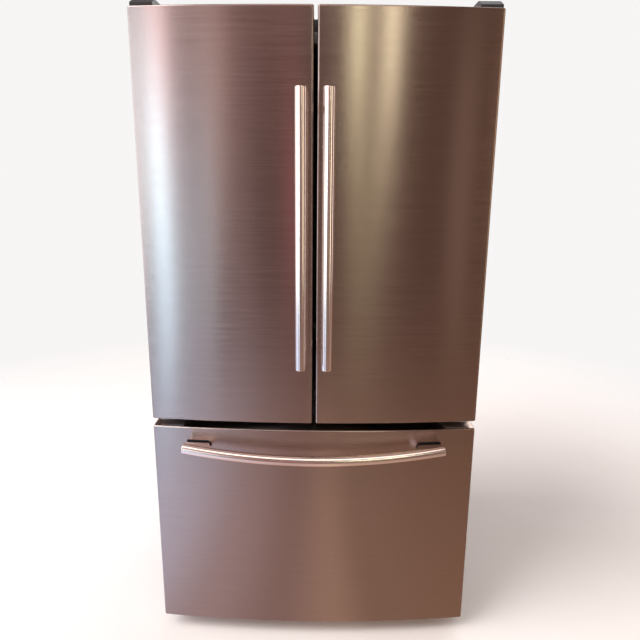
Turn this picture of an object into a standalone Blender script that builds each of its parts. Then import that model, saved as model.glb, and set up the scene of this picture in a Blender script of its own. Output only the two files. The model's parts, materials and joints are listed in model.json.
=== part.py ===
"""A 36 inch French-door refrigerator with a freezer drawer below.

Metres, +Z up. The origin is on the floor, at the middle of the footprint. The doors
face -Y, and left and right are the user's. Each part is modelled where it stands when
everything is closed. A moving part hangs from an empty on its joint's axis.
"""
import math

import bmesh
import bpy
from mathutils import Euler, Vector

# Whole object
WIDTH = 0.908
DEPTH = 0.905  # back panel to the front of the freezer handle
CASE_TOP = 1.743
COVER_RISE = 0.035  # hinge covers above the case, the highest point of all
TOUCH = 0.0003  # gap between faces that touch
SHEET = 0.0015  # painted steel sheet

# Doors and drawer front, seen from the front
DOOR_RISE = 0.009  # doors above the case
DOOR_BOTTOM = 0.689
DRAWER_TOP = 0.668
DRAWER_BOTTOM = 0.042
DOOR_GAP = 0.009  # between the two upper doors
# Doors and drawer front, seen from above
DOOR_THICKNESS = 0.080  # at the sides of the case
DOOR_CROWN = 0.027  # how far the middle of the curved face stands out
DOOR_EDGE_RADIUS = 0.005
GASKET_GAP = 0.012
FACE_STEPS = 14
CORNER_STEPS = 3

# Handles
HANDLE_RADIUS = 0.0145
DOOR_HANDLE_X = 0.034
DOOR_HANDLE_ABOVE_BOTTOM = 0.173
DOOR_HANDLE_BELOW_TOP = 0.1885
DOOR_HANDLE_STANDOFF = 0.047
POST_RADIUS = 0.008
POST_INSET = 0.045
BAR_END_FROM_SIDE = 0.094
BAR_END_Z = 0.622
BAR_DROOP = 0.022
BAR_END_STANDOFF = 0.046
BAR_MIDDLE_STANDOFF = 0.050
BAR_STEPS = 16
MOUNT_FROM_BAR_END = 0.002
MOUNT_LENGTH = 0.070
MOUNT_PLATE = 0.003
MOUNT_HALF_HEIGHT = 0.016
ARM_HALF_HEIGHT = 0.010
ARM_LENGTH_AT_DOOR = 0.058
ARM_RUNNING_GAP = 0.0025
EAR_FROM_BAR_END = 0.036
EAR_HALF_WIDTH = 0.006
EAR_SLACK = 0.001
PIVOT_STANDOFF = 0.015
PIVOT_PIN_RADIUS = 0.003
PIVOT_PIN_HALF = 0.018
PIN_SLACK = 0.0004

# Case, from the outside in
SHELL_BOTTOM = 0.030
FLANGE = 0.030
BACK_SHEET = 0.001
SIDE_WALL = 0.054  # outside of the case to inside of the liner
CEILING_WALL = 0.058
BACK_WALL = 0.0725
LINER = 0.002
FRIDGE_FLOOR = 0.715
FREEZER_CEILING = 0.640
FREEZER_FLOOR = 0.120
BASE_TOP = 0.075
BASE_SHEET = 0.003
MACHINE_DEPTH = 0.2475
MACHINE_TOP = 0.265
STEP_WALL = 0.040  # foam between the machine space and the freezer
KICK_BOTTOM = 0.008
KICK_SETBACK = 0.0035
KICK_SHEET = 0.003

# Hinges
HINGE_FROM_SIDE = 0.026
HINGE_FROM_FACE = 0.040
HINGE_PIN_RADIUS = 0.006
HINGE_PIN_DEPTH = 0.019
HINGE_HALF_WIDTH = 0.022
HINGE_PLATE = 0.004
HINGE_OVER_DOOR = 0.0015
HINGE_NOSE = 0.015  # in front of the pin's axis
HINGE_BACK = 0.152  # behind the pin's axis
MIDDLE_HINGE_INNER = 0.053  # from the pin's axis towards the middle
MIDDLE_HINGE_OUTER = 0.010
COVER_WALL = 0.002
COVER_WIDTH = 0.056
COVER_SETBACK = 0.019  # from the pin's axis to the cover's nose

# Inside of the doors, measured from the hinge's axis
DYKE_START = 0.060
DYKE_FROM_MIDDLE = 0.043
DYKE_WALL = 0.015
DYKE_REACH = 0.085
DYKE_RADIUS = 0.018
DYKE_MARGIN = 0.020  # to the fridge's floor and ceiling
BIN_REACH = 0.125
BIN_WALL = 0.0025
LID_THICKNESS = 0.0025
LID_SKIRT = 0.050
LID_BELOW_DYKE = 0.090
DAIRY_BIN_BELOW_LID = 0.120
DAIRY_BARREL_RADIUS = 0.004
GASKET_WIDTH = 0.014
GASKET_FROM_SIDE = 0.028
GASKET_FROM_MIDDLE = 0.010
GASKET_ABOVE_DOOR_BOTTOM = 0.014
GASKET_BELOW_CASE_TOP = 0.023

# Mullion bar
MULLION_X = -0.026
MULLION_THICKNESS = 0.020
MULLION_REACH = 0.060
MULLION_END_GAP = 0.025  # to the fridge's floor and ceiling
MULLION_PIN_RADIUS = 0.003
MULLION_PIN_LENGTH = 0.014
LUG_HEIGHT = 0.008

# Fridge interior
SHELF_GLASS = 0.006
SHELF_SETBACK = 0.119  # from the case's front
SHELF_MIDDLE_GAP = 0.004
CRISPER_FROM_WALL = 0.044
CRISPER_INNER_X = 0.008
CRISPER_SETBACK = 0.133
CRISPER_BACK_GAP = 0.136
CRISPER_FLOOR_GAP = 0.020
CRISPER_HEIGHT = 0.151
CRISPER_RIM = 0.006
CRISPER_LIP = 0.008
CRISPER_BODY_INSET = 0.010
CRISPER_WALL = 0.003
CRISPER_COVER_GAP = 0.019
CRISPER_COVER_THICKNESS = 0.010
RAIL_SLACK = 0.0004

# Freezer interior
PLUG_MARGIN = 0.025
PLUG_DEPTH = 0.024  # into the case
SLIDE_SETBACK = 0.029
SLIDE_BACK_GAP = 0.010
SLIDE_ABOVE_FLOOR = 0.1275
SLIDE_HALF_HEIGHT = 0.0225
SLIDE_WEB = 0.0015
SLIDE_WIDTH = 0.014
SLIDE_SLACK = 0.0005
SLIDE_MIDDLE_INNER = 0.0125  # from the liner wall to the middle member's inner face
SLIDE_GROOVE_DEPTH = 0.007
SLIDE_GROOVE_HALF = 0.0105
SLIDE_INNER_WIDTH = 0.016
BASKET_SIDE_GAP = 0.030
BASKET_FLOOR_GAP = 0.020
BASKET_HEIGHT = 0.260
BASKET_SETBACK = 0.031
BASKET_BACK_GAP = 0.020
BASKET_WALL = 0.003
BASKET_FLANGE = 0.015
UPPER_DRAWER_SIDE_GAP = 0.015
UPPER_DRAWER_DEPTH = 0.130
UPPER_DRAWER_BELOW_CEILING = 0.080
UPPER_DRAWER_RIM = 0.008
UPPER_DRAWER_RIM_GAP = 0.003
UPPER_DRAWER_SETBACK = 0.069
UPPER_DRAWER_BACK_GAP = 0.025
RIB_WIDTH = 0.012
RIB_HEIGHT = 0.008
RIB_LEAD = 0.035  # ribs start this far in front of the drawer

# Running gear
ROLLER_RADIUS = 0.018
ROLLER_HALF_WIDTH = 0.011
ROLLER_FROM_SIDE = 0.054
ROLLER_FROM_BACK = 0.0925
AXLE_RADIUS = 0.003
LEG_FROM_SIDE = 0.054
LEG_SETBACK = 0.054
LEG_FOOT_RADIUS = 0.020
LEG_FOOT_HEIGHT = 0.012
LEG_STEM_RADIUS = 0.005
LEG_STEM_TOP = 0.066
LEG_BOSS_RADIUS = 0.012
LEG_BOSS_BOTTOM = 0.040

# Machine space
COMPRESSOR_X = 0.220
MACHINE_FROM_BACK = 0.1275
COMPRESSOR_RADIUS = 0.078
COMPRESSOR_HEIGHT = 0.150
FAN_X = -0.095
FAN_Z = 0.165
FAN_RADIUS = 0.072
FAN_HUB_RADIUS = 0.018
FAN_HUB_HALF = 0.010
FAN_BLADES = 5
CONDENSER_FROM_SIDE = 0.059
CONDENSER_INNER_X = -0.165
CONDENSER_RADIUS = 0.004
CONDENSER_RUNS = 8
CONDENSER_PITCH = 0.020

# What follows from those sizes
HALF = WIDTH / 2
OVERALL_TOP = CASE_TOP + COVER_RISE
DOOR_TOP = CASE_TOP + DOOR_RISE
CASE_BACK_Y = DEPTH / 2
FACE_SIDE_Y = -DEPTH / 2 + DOOR_CROWN + BAR_MIDDLE_STANDOFF + HANDLE_RADIUS
DOOR_BACK_Y = FACE_SIDE_Y + DOOR_THICKNESS
CASE_FRONT_Y = DOOR_BACK_Y + GASKET_GAP
FACE_RADIUS = (HALF**2 + DOOR_CROWN**2) / (2 * DOOR_CROWN)
HINGE_X = HALF - HINGE_FROM_SIDE
HINGE_Y = FACE_SIDE_Y + HINGE_FROM_FACE
INNER_HALF = HALF - SIDE_WALL
FRIDGE_CEILING = CASE_TOP - CEILING_WALL
INNER_BACK_Y = CASE_BACK_Y - BACK_WALL
MACHINE_FRONT_Y = CASE_BACK_Y - MACHINE_DEPTH
STEP_BACK_Y = MACHINE_FRONT_Y - STEP_WALL
STEP_TOP = MACHINE_TOP + STEP_WALL
MIDDLE_GAP_Z = (DOOR_BOTTOM + DRAWER_TOP) / 2
DOOR_HANDLE_BOTTOM = DOOR_BOTTOM + DOOR_HANDLE_ABOVE_BOTTOM
DOOR_HANDLE_TOP = DOOR_TOP - DOOR_HANDLE_BELOW_TOP
BAR_END_X = HALF - BAR_END_FROM_SIDE
MOUNT_OUTER_X = BAR_END_X - MOUNT_FROM_BAR_END
MOUNT_INNER_X = MOUNT_OUTER_X - MOUNT_LENGTH
ARM_DOOR_INNER_X = MOUNT_OUTER_X - ARM_LENGTH_AT_DOOR
EAR_X = BAR_END_X - EAR_FROM_BAR_END
COVER_INNER_X = HALF - COVER_WIDTH
DYKE_END = HINGE_X - DYKE_FROM_MIDDLE
DYKE_BOTTOM = FRIDGE_FLOOR + DYKE_MARGIN
DYKE_TOP = FRIDGE_CEILING - DYKE_MARGIN
GASKET_BOTTOM = DOOR_BOTTOM + GASKET_ABOVE_DOOR_BOTTOM
GASKET_TOP = CASE_TOP - GASKET_BELOW_CASE_TOP
MULLION_Y = CASE_FRONT_Y + SHEET / 3 + MULLION_THICKNESS / 2
MULLION_BOTTOM = FRIDGE_FLOOR + MULLION_END_GAP
MULLION_TOP = FRIDGE_CEILING - MULLION_END_GAP
DAIRY_PIVOT_Y = DOOR_BACK_Y + DAIRY_BARREL_RADIUS + 0.0005
DAIRY_PIVOT_Z = DYKE_TOP - DYKE_WALL - LID_BELOW_DYKE
SHELF_FRONT_Y = CASE_FRONT_Y + SHELF_SETBACK
CRISPER_OUTER_X = INNER_HALF - CRISPER_FROM_WALL
CRISPER_FRONT_Y = CASE_FRONT_Y + CRISPER_SETBACK
CRISPER_BACK_Y = INNER_BACK_Y - CRISPER_BACK_GAP
CRISPER_BOTTOM = FRIDGE_FLOOR + CRISPER_FLOOR_GAP
CRISPER_RIM_Z = CRISPER_BOTTOM + CRISPER_HEIGHT - CRISPER_RIM
CRISPER_COVER_Z = CRISPER_RIM_Z + CRISPER_RIM + CRISPER_COVER_GAP
PLUG_HALF_WIDTH = INNER_HALF - PLUG_MARGIN
PLUG_BACK_Y = CASE_FRONT_Y + PLUG_DEPTH
SLIDE_FRONT_Y = CASE_FRONT_Y + SLIDE_SETBACK
SLIDE_BACK_Y = STEP_BACK_Y - SLIDE_BACK_GAP
SLIDE_CENTRE_Z = FREEZER_FLOOR + SLIDE_ABOVE_FLOOR
BASKET_HALF_WIDTH = INNER_HALF - BASKET_SIDE_GAP
BASKET_FRONT_Y = CASE_FRONT_Y + BASKET_SETBACK
BASKET_BACK_Y = STEP_BACK_Y - BASKET_BACK_GAP
BASKET_BOTTOM = FREEZER_FLOOR + BASKET_FLOOR_GAP
BASKET_TOP = BASKET_BOTTOM + BASKET_HEIGHT
BASKET_FLANGE_X = BASKET_HALF_WIDTH + BASKET_FLANGE
UPPER_DRAWER_HALF_WIDTH = INNER_HALF - UPPER_DRAWER_SIDE_GAP
UPPER_DRAWER_TOP = FREEZER_CEILING - UPPER_DRAWER_BELOW_CEILING
UPPER_DRAWER_RIM_Z = UPPER_DRAWER_TOP - UPPER_DRAWER_RIM
UPPER_DRAWER_RIM_X = INNER_HALF - UPPER_DRAWER_RIM_GAP
UPPER_DRAWER_FRONT_Y = CASE_FRONT_Y + UPPER_DRAWER_SETBACK
UPPER_DRAWER_BACK_Y = INNER_BACK_Y - UPPER_DRAWER_BACK_GAP
RIB_INNER_X = INNER_HALF - RIB_WIDTH
ROLLER_X = HALF - ROLLER_FROM_SIDE
ROLLER_Y = CASE_BACK_Y - ROLLER_FROM_BACK
LEG_X = HALF - LEG_FROM_SIDE
LEG_Y = CASE_FRONT_Y + LEG_SETBACK
MACHINE_Y = CASE_BACK_Y - MACHINE_FROM_BACK
SIDES = (("left", -1), ("right", 1))


def face_y(x):
    """Y of the doors' convex face, one arc over the whole width."""
    return FACE_SIDE_Y - DOOR_CROWN + FACE_RADIUS - math.sqrt(FACE_RADIUS**2 - x * x)


BAR_PIVOT_Y = face_y(EAR_X) - PIVOT_STANDOFF


# Scene, materials and joint empties

for old in list(bpy.data.objects):
    bpy.data.objects.remove(old, do_unlink=True)

parts = bpy.data.collections.new("french_door_refrigerator")
cutters = bpy.data.collections.new("cutters")
for group in (parts, cutters):
    bpy.context.scene.collection.children.link(group)

FINISHES = {
    "bronze_steel": ((0.42, 0.33, 0.31), 0.30, 1.0),
    "polished_steel": ((0.80, 0.72, 0.68), 0.18, 1.0),
    "painted_case": ((0.10, 0.10, 0.105), 0.45, 0.3),
    "black_steel": ((0.03, 0.03, 0.03), 0.45, 0.6),
    "white_plastic": ((0.86, 0.87, 0.88), 0.35, 0.0),
    "clear_plastic": ((0.72, 0.80, 0.84), 0.15, 0.0),
    "dark_plastic": ((0.05, 0.05, 0.055), 0.40, 0.0),
    "grey_rubber": ((0.20, 0.20, 0.21), 0.80, 0.0),
    "shelf_glass": ((0.70, 0.85, 0.82), 0.08, 0.0),
    "foam": ((0.85, 0.78, 0.55), 0.90, 0.0),
    "zinc_steel": ((0.62, 0.63, 0.64), 0.35, 1.0),
    "copper": ((0.72, 0.40, 0.26), 0.30, 1.0),
}


def make_material(node_name, finish):
    colour, roughness, metallic = FINISHES[finish]
    material = bpy.data.materials.new(node_name + "_" + finish)
    material.use_nodes = True
    shader = material.node_tree.nodes["Principled BSDF"]
    shader.inputs["Base Color"].default_value = (*colour, 1)
    shader.inputs["Roughness"].default_value = roughness
    shader.inputs["Metallic"].default_value = metallic
    return material


joints = {"root": None}
joint_places = {"root": Vector((0, 0, 0))}


def add_joint(name, place, parent="root"):
    """An empty on a joint's axis, which its body's parts hang from."""
    empty = bpy.data.objects.new(name + "_joint", None)
    empty.empty_display_size = 0.05
    empty.location = Vector(place) - joint_places[parent]
    empty.parent = joints[parent]
    parts.objects.link(empty)
    joints[name] = empty
    joint_places[name] = Vector(place)


def hang(item, body):
    item.parent = joints[body]
    item.location -= joint_places[body]


def add_part(item, finish, body="root"):
    """Take a finished shape into the model as one named part."""
    parts.objects.link(item)
    item.data.materials.clear()
    item.data.materials.append(make_material(item.name, finish))
    for tool in (modifier.object for modifier in item.modifiers if modifier.type == "BOOLEAN"):
        hang(tool, body)
    hang(item, body)
    return item


def combine(item, operation, *tools):
    for tool in tools:
        modifier = item.modifiers.new(operation.lower(), "BOOLEAN")
        modifier.operation = operation
        modifier.object = tool
        cutters.objects.link(tool)
        tool.hide_render = True
        tool.display_type = "WIRE"
    return item


def cut(item, *tools):
    return combine(item, "DIFFERENCE", *tools)


def join(item, *tools):
    return combine(item, "UNION", *tools)


# Shapes


def object_from(name, shape, location=(0, 0, 0), smooth=False):
    mesh = bpy.data.meshes.new(name)
    shape.to_mesh(mesh)
    shape.free()
    if smooth:
        mesh.shade_smooth()
        mesh.set_sharp_from_angle(angle=math.radians(35))
    item = bpy.data.objects.new(name, mesh)
    item.location = location
    return item


def cube_shape(size):
    shape = bmesh.new()
    bmesh.ops.create_cube(shape, size=1)
    bmesh.ops.scale(shape, vec=size, verts=shape.verts)
    return shape


def add_bevel(item, width, segments=2):
    bevel = item.modifiers.new("rounded_edges", "BEVEL")
    bevel.width = width
    bevel.segments = segments
    bevel.limit_method = "ANGLE"


def box(name, low, high, edge=0.0):
    low, high = Vector(low), Vector(high)
    item = object_from(name, cube_shape(high - low), (low + high) / 2)
    if edge:
        add_bevel(item, edge)
    return item


def rod(name, start, end, radius, sides=16):
    start, end = Vector(start), Vector(end)
    shape = bmesh.new()
    bmesh.ops.create_cone(
        shape,
        cap_ends=True,
        segments=sides,
        radius1=radius,
        radius2=radius,
        depth=(end - start).length,
    )
    item = object_from(name, shape, (start + end) / 2, smooth=True)
    item.rotation_euler = (end - start).to_track_quat("Z", "Y").to_euler()
    return item


def tray(name, low, high, wall, corner):
    """A bin with an open top, rounded at the bottom and at its four corners."""
    low, high = Vector(low), Vector(high)
    shape = cube_shape(high - low)
    top = max(shape.faces, key=lambda face: face.calc_center_median().z)
    bmesh.ops.delete(shape, geom=[top], context="FACES_ONLY")
    item = object_from(name, shape, (low + high) / 2)
    add_bevel(item, corner)
    shell = item.modifiers.new("wall", "SOLIDIFY")
    shell.thickness = wall
    shell.offset = -1
    shell.use_even_offset = True
    return item


def mesh_from_curve(guide):
    """The curve's surface as one closed mesh; the curve itself is removed."""
    bpy.context.scene.collection.objects.link(guide)
    bpy.context.view_layer.update()
    evaluated = guide.evaluated_get(bpy.context.evaluated_depsgraph_get())
    mesh = bpy.data.meshes.new_from_object(evaluated)
    shape = bmesh.new()
    shape.from_mesh(mesh)
    bmesh.ops.remove_doubles(shape, verts=shape.verts, dist=0.00001)
    bmesh.ops.recalc_face_normals(shape, faces=shape.faces)
    shape.to_mesh(mesh)
    shape.free()
    bpy.data.objects.remove(guide, do_unlink=True)
    return mesh


def mid_point(plane, start, end):
    middle = (start + end) / 2
    return {"plan": (0, 0, middle), "front": (0, middle, 0), "side": (middle, 0, 0)}[plane]


# Plan outlines are X and Y, front ones X and Z, side ones Y and Z
PLANE_TURNS = {
    "plan": Euler((0, 0, 0)),
    "front": Euler((math.pi / 2, 0, 0)),
    "side": Euler((math.pi / 2, 0, math.pi / 2)),
}


def prism(name, outlines, plane, start, end):
    """Flat outlines pulled from start to end; a second outline inside is a hole."""
    start, end = sorted((start, end))
    curve = bpy.data.curves.new(name, "CURVE")
    curve.dimensions = "2D"
    curve.fill_mode = "BOTH"
    curve.extrude = (end - start) / 2
    for outline in outlines:
        spline = curve.splines.new("POLY")
        spline.points.add(len(outline) - 1)
        for point, (across, up) in zip(spline.points, outline):
            point.co = (across, up, 0, 1)
        spline.use_cyclic_u = True
    mesh = mesh_from_curve(bpy.data.objects.new(name + "_outline", curve))
    item = bpy.data.objects.new(name, mesh)
    item.rotation_euler = PLANE_TURNS[plane]
    item.location = mid_point(plane, start, end)
    return item


def tube(name, path, radius, resolution=4):
    curve = bpy.data.curves.new(name, "CURVE")
    curve.dimensions = "3D"
    curve.bevel_depth = radius
    curve.bevel_resolution = resolution
    curve.use_fill_caps = True
    spline = curve.splines.new("POLY")
    spline.points.add(len(path) - 1)
    for point, place in zip(spline.points, path):
        point.co = (*place, 1)
    mesh = mesh_from_curve(bpy.data.objects.new(name + "_path", curve))
    mesh.shade_smooth()
    mesh.set_sharp_from_angle(angle=math.radians(40))
    return bpy.data.objects.new(name, mesh)


def arc(centre, radius, start, end, steps):
    """Points from the start angle to the end angle, in degrees."""
    points = []
    for step in range(steps + 1):
        angle = math.radians(start + (end - start) * step / steps)
        points.append((centre[0] + radius * math.cos(angle), centre[1] + radius * math.sin(angle)))
    return points


def rectangle(low, high, radius=0.0):
    if not radius:
        return [(low[0], low[1]), (high[0], low[1]), (high[0], high[1]), (low[0], high[1])]
    left, right = low[0] + radius, high[0] - radius
    bottom, top = low[1] + radius, high[1] - radius
    outline = arc((left, bottom), radius, 180, 270, CORNER_STEPS)
    outline += arc((right, bottom), radius, 270, 360, CORNER_STEPS)
    outline += arc((right, top), radius, 0, 90, CORNER_STEPS)
    outline += arc((left, top), radius, 90, 180, CORNER_STEPS)
    return outline


def spread(sign, near, far):
    """Two X values on one side of the middle, lowest first."""
    return sorted((sign * near, sign * far))


# Joints


add_joint("left_door", (-HINGE_X, HINGE_Y, DOOR_BOTTOM))
add_joint("right_door", (HINGE_X, HINGE_Y, DOOR_BOTTOM))
add_joint("mullion", (MULLION_X, MULLION_Y, MULLION_BOTTOM), "left_door")
lid_start = -HINGE_X + DYKE_START + DYKE_WALL
add_joint("dairy_lid", (lid_start, DAIRY_PIVOT_Y, DAIRY_PIVOT_Z), "left_door")
for side_name, side_sign in SIDES:
    add_joint(side_name + "_crisper", (side_sign * CRISPER_OUTER_X, CRISPER_FRONT_Y, CRISPER_RIM_Z))
    add_joint(side_name + "_roller", (side_sign * ROLLER_X, ROLLER_Y, ROLLER_RADIUS))
    add_joint(side_name + "_leg", (side_sign * LEG_X, LEG_Y, 0))
add_joint("freezer_drawer", (0, SLIDE_FRONT_Y, SLIDE_CENTRE_Z))
add_joint("middle_slides", (0, SLIDE_FRONT_Y, SLIDE_CENTRE_Z))
add_joint("upper_freezer_drawer", (0, UPPER_DRAWER_FRONT_Y, UPPER_DRAWER_RIM_Z))
add_joint("freezer_handle", (0, BAR_PIVOT_Y, BAR_END_Z), "freezer_drawer")
add_joint("condenser_fan", (FAN_X, MACHINE_Y, FAN_Z))


# Case


def make_cabinet_shell():
    """Painted sheet over the top and sides, with a front frame and its cross rail."""
    back = CASE_BACK_Y - BACK_SHEET - TOUCH
    shell = box("cabinet_shell", (-HALF, CASE_FRONT_Y, SHELL_BOTTOM), (HALF, back, CASE_TOP))
    inside = box(
        "shell_inside",
        (-HALF + SHEET, CASE_FRONT_Y + SHEET, SHELL_BOTTOM - 0.1),
        (HALF - SHEET, back + 0.1, CASE_TOP - SHEET),
    )
    front, behind = CASE_FRONT_Y - 0.01, CASE_FRONT_Y + 0.01
    opening = HALF - FLANGE
    upper = box(
        "upper_opening",
        (-opening, front, FRIDGE_FLOOR - LINER),
        (opening, behind, CASE_TOP - FLANGE),
    )
    lower = box(
        "lower_opening",
        (-opening, front, SHELL_BOTTOM - 0.1),
        (opening, behind, FREEZER_CEILING + LINER),
    )
    add_part(cut(shell, inside, upper, lower), "painted_case")


def make_back_panel():
    edge = SHEET
    add_part(
        box(
            "back_panel",
            (-HALF + edge, CASE_BACK_Y - BACK_SHEET, MACHINE_TOP + 0.005),
            (HALF - edge, CASE_BACK_Y, CASE_TOP - edge),
        ),
        "zinc_steel",
    )


def freezer_side_outline(grow, front):
    """The freezer space seen from the side, with the step over the machine space."""
    floor, ceiling = FREEZER_FLOOR - grow, FREEZER_CEILING + grow
    step_back, step_top = STEP_BACK_Y + grow, STEP_TOP - grow
    back = INNER_BACK_Y + grow
    return [
        (front, floor),
        (step_back, floor),
        (step_back, step_top),
        (back, step_top),
        (back, ceiling),
        (front, ceiling),
    ]


def make_insulation():
    """The foam body: one block with two cavities and the machine space cut out."""
    edge = SHEET + TOUCH
    front, back = CASE_FRONT_Y + edge, CASE_BACK_Y - BACK_SHEET - TOUCH
    grow = LINER + TOUCH
    foam = box(
        "cabinet_insulation",
        (-HALF + edge, front, BASE_TOP + TOUCH),
        (HALF - edge, back, CASE_TOP - edge),
    )
    fridge = box(
        "fridge_space",
        (-INNER_HALF - grow, front - 0.1, FRIDGE_FLOOR - grow),
        (INNER_HALF + grow, INNER_BACK_Y + grow, FRIDGE_CEILING + grow),
    )
    freezer = prism(
        "freezer_space",
        [freezer_side_outline(grow, front - 0.1)],
        "side",
        -INNER_HALF - grow,
        INNER_HALF + grow,
    )
    machine = box(
        "machine_space", (-WIDTH, MACHINE_FRONT_Y, -0.1), (WIDTH, CASE_BACK_Y + 0.1, MACHINE_TOP)
    )
    add_part(cut(foam, fridge, freezer, machine), "foam")


def make_fridge_liner():
    rim = HALF - FLANGE - TOUCH
    liner = box(
        "fridge_liner",
        (-INNER_HALF - LINER, CASE_FRONT_Y, FRIDGE_FLOOR - LINER + TOUCH),
        (INNER_HALF + LINER, INNER_BACK_Y + LINER, FRIDGE_CEILING + LINER),
    )
    flange = box(
        "fridge_liner_flange",
        (-rim, CASE_FRONT_Y, FRIDGE_FLOOR - LINER + TOUCH),
        (rim, CASE_FRONT_Y + SHEET, CASE_TOP - FLANGE - TOUCH),
    )
    inside = box(
        "fridge_liner_inside",
        (-INNER_HALF, CASE_FRONT_Y - 0.1, FRIDGE_FLOOR),
        (INNER_HALF, INNER_BACK_Y, FRIDGE_CEILING),
    )
    add_part(cut(join(liner, flange), inside), "white_plastic")


def make_freezer_liner():
    """The lower liner, with the ribs that the upper drawer's rim slides on."""
    rim = HALF - FLANGE - TOUCH
    wide = INNER_HALF + LINER
    outline = freezer_side_outline(LINER, CASE_FRONT_Y)
    outline[-1] = (CASE_FRONT_Y, FREEZER_CEILING + LINER - TOUCH)
    outline[-2] = (INNER_BACK_Y + LINER, FREEZER_CEILING + LINER - TOUCH)
    liner = prism("freezer_liner", [outline], "side", -wide, wide)
    flange = box(
        "freezer_liner_flange",
        (-rim, CASE_FRONT_Y, BASE_TOP + TOUCH),
        (rim, CASE_FRONT_Y + SHEET, FREEZER_CEILING + LINER - TOUCH),
    )
    inside = prism(
        "freezer_liner_inside",
        [freezer_side_outline(0, CASE_FRONT_Y - 0.1)],
        "side",
        -INNER_HALF,
        INNER_HALF,
    )
    ribs = []
    top = UPPER_DRAWER_RIM_Z - TOUCH
    for side, sign in SIDES:
        low, high = spread(sign, RIB_INNER_X, INNER_HALF + LINER / 2)
        rib_low = (low, UPPER_DRAWER_FRONT_Y - RIB_LEAD, top - RIB_HEIGHT)
        ribs.append(box(side + "_rib", rib_low, (high, UPPER_DRAWER_BACK_Y, top)))
    add_part(join(cut(join(liner, flange), inside), *ribs), "white_plastic")


def make_base_pan():
    """The floor plate, with the rear roller brackets and the front leg bosses."""
    edge = SHEET + TOUCH
    under = BASE_TOP - BASE_SHEET
    front = CASE_FRONT_Y + KICK_SETBACK + KICK_SHEET + TOUCH
    pan = box(
        "base_pan",
        (-HALF + edge, front, under),
        (HALF - edge, CASE_BACK_Y - BACK_SHEET - TOUCH, BASE_TOP),
    )
    cheek_gap = ROLLER_HALF_WIDTH + 0.001
    cheek = 0.003
    for side, sign in SIDES:
        for face, middle in (("inner", -1), ("outer", 1)):
            start = sign * ROLLER_X + middle * cheek_gap
            low, high = sorted((start, start + middle * cheek))
            plate = prism(
                f"{side}_{face}_cheek",
                [
                    [
                        (ROLLER_Y - 0.030, under + 0.001),
                        (ROLLER_Y - 0.009, ROLLER_RADIUS - 0.006),
                        (ROLLER_Y + 0.009, ROLLER_RADIUS - 0.006),
                        (ROLLER_Y + 0.030, under + 0.001),
                    ]
                ],
                "side",
                low,
                high,
            )
            join(pan, plate)
        reach = cheek_gap + cheek / 2
        start = (sign * ROLLER_X - reach, ROLLER_Y, ROLLER_RADIUS)
        end = (sign * ROLLER_X + reach, ROLLER_Y, ROLLER_RADIUS)
        join(pan, rod(side + "_axle", start, end, AXLE_RADIUS, 12))
        boss_low = (sign * LEG_X, LEG_Y, LEG_BOSS_BOTTOM)
        join(pan, rod(side + "_boss", boss_low, (sign * LEG_X, LEG_Y, under + 0.001), LEG_BOSS_RADIUS))
        bore_low = (sign * LEG_X, LEG_Y, LEG_BOSS_BOTTOM - 0.01)
        bore_high = (sign * LEG_X, LEG_Y, LEG_STEM_TOP + 0.002)
        cut(pan, rod(side + "_bore", bore_low, bore_high, LEG_STEM_RADIUS + PIN_SLACK, 12))
    add_part(pan, "zinc_steel")


def make_kick_plate():
    """The toe grille under the drawer, with a row of air slots."""
    wide = HALF - SHEET - TOUCH
    low, high = KICK_BOTTOM, BASE_TOP - 0.001
    outlines = [rectangle((-wide, low), (wide, high))]
    slots, pitch = 12, 0.052
    for index in range(slots):
        middle = (index - (slots - 1) / 2) * pitch
        outlines.append(rectangle((middle - 0.020, low + 0.012), (middle + 0.020, low + 0.018)))
    front = CASE_FRONT_Y + KICK_SETBACK
    add_part(prism("kick_plate", outlines, "front", front, front + KICK_SHEET), "dark_plastic")


def make_machine_cover():
    """The rear lower cover, with two banks of vent slots."""
    wide = HALF - SHEET
    low, high = SHELL_BOTTOM, MACHINE_TOP + 0.0045
    outlines = [rectangle((-wide, low), (wide, high))]
    for bank in (-0.24, 0.18):
        for row in range(7):
            bottom = low + 0.070 + row * 0.020
            outlines.append(rectangle((bank - 0.10, bottom), (bank + 0.10, bottom + 0.008)))
    add_part(
        prism("machine_cover", outlines, "front", CASE_BACK_Y - BACK_SHEET, CASE_BACK_Y), "zinc_steel"
    )


# Machine space


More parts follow.
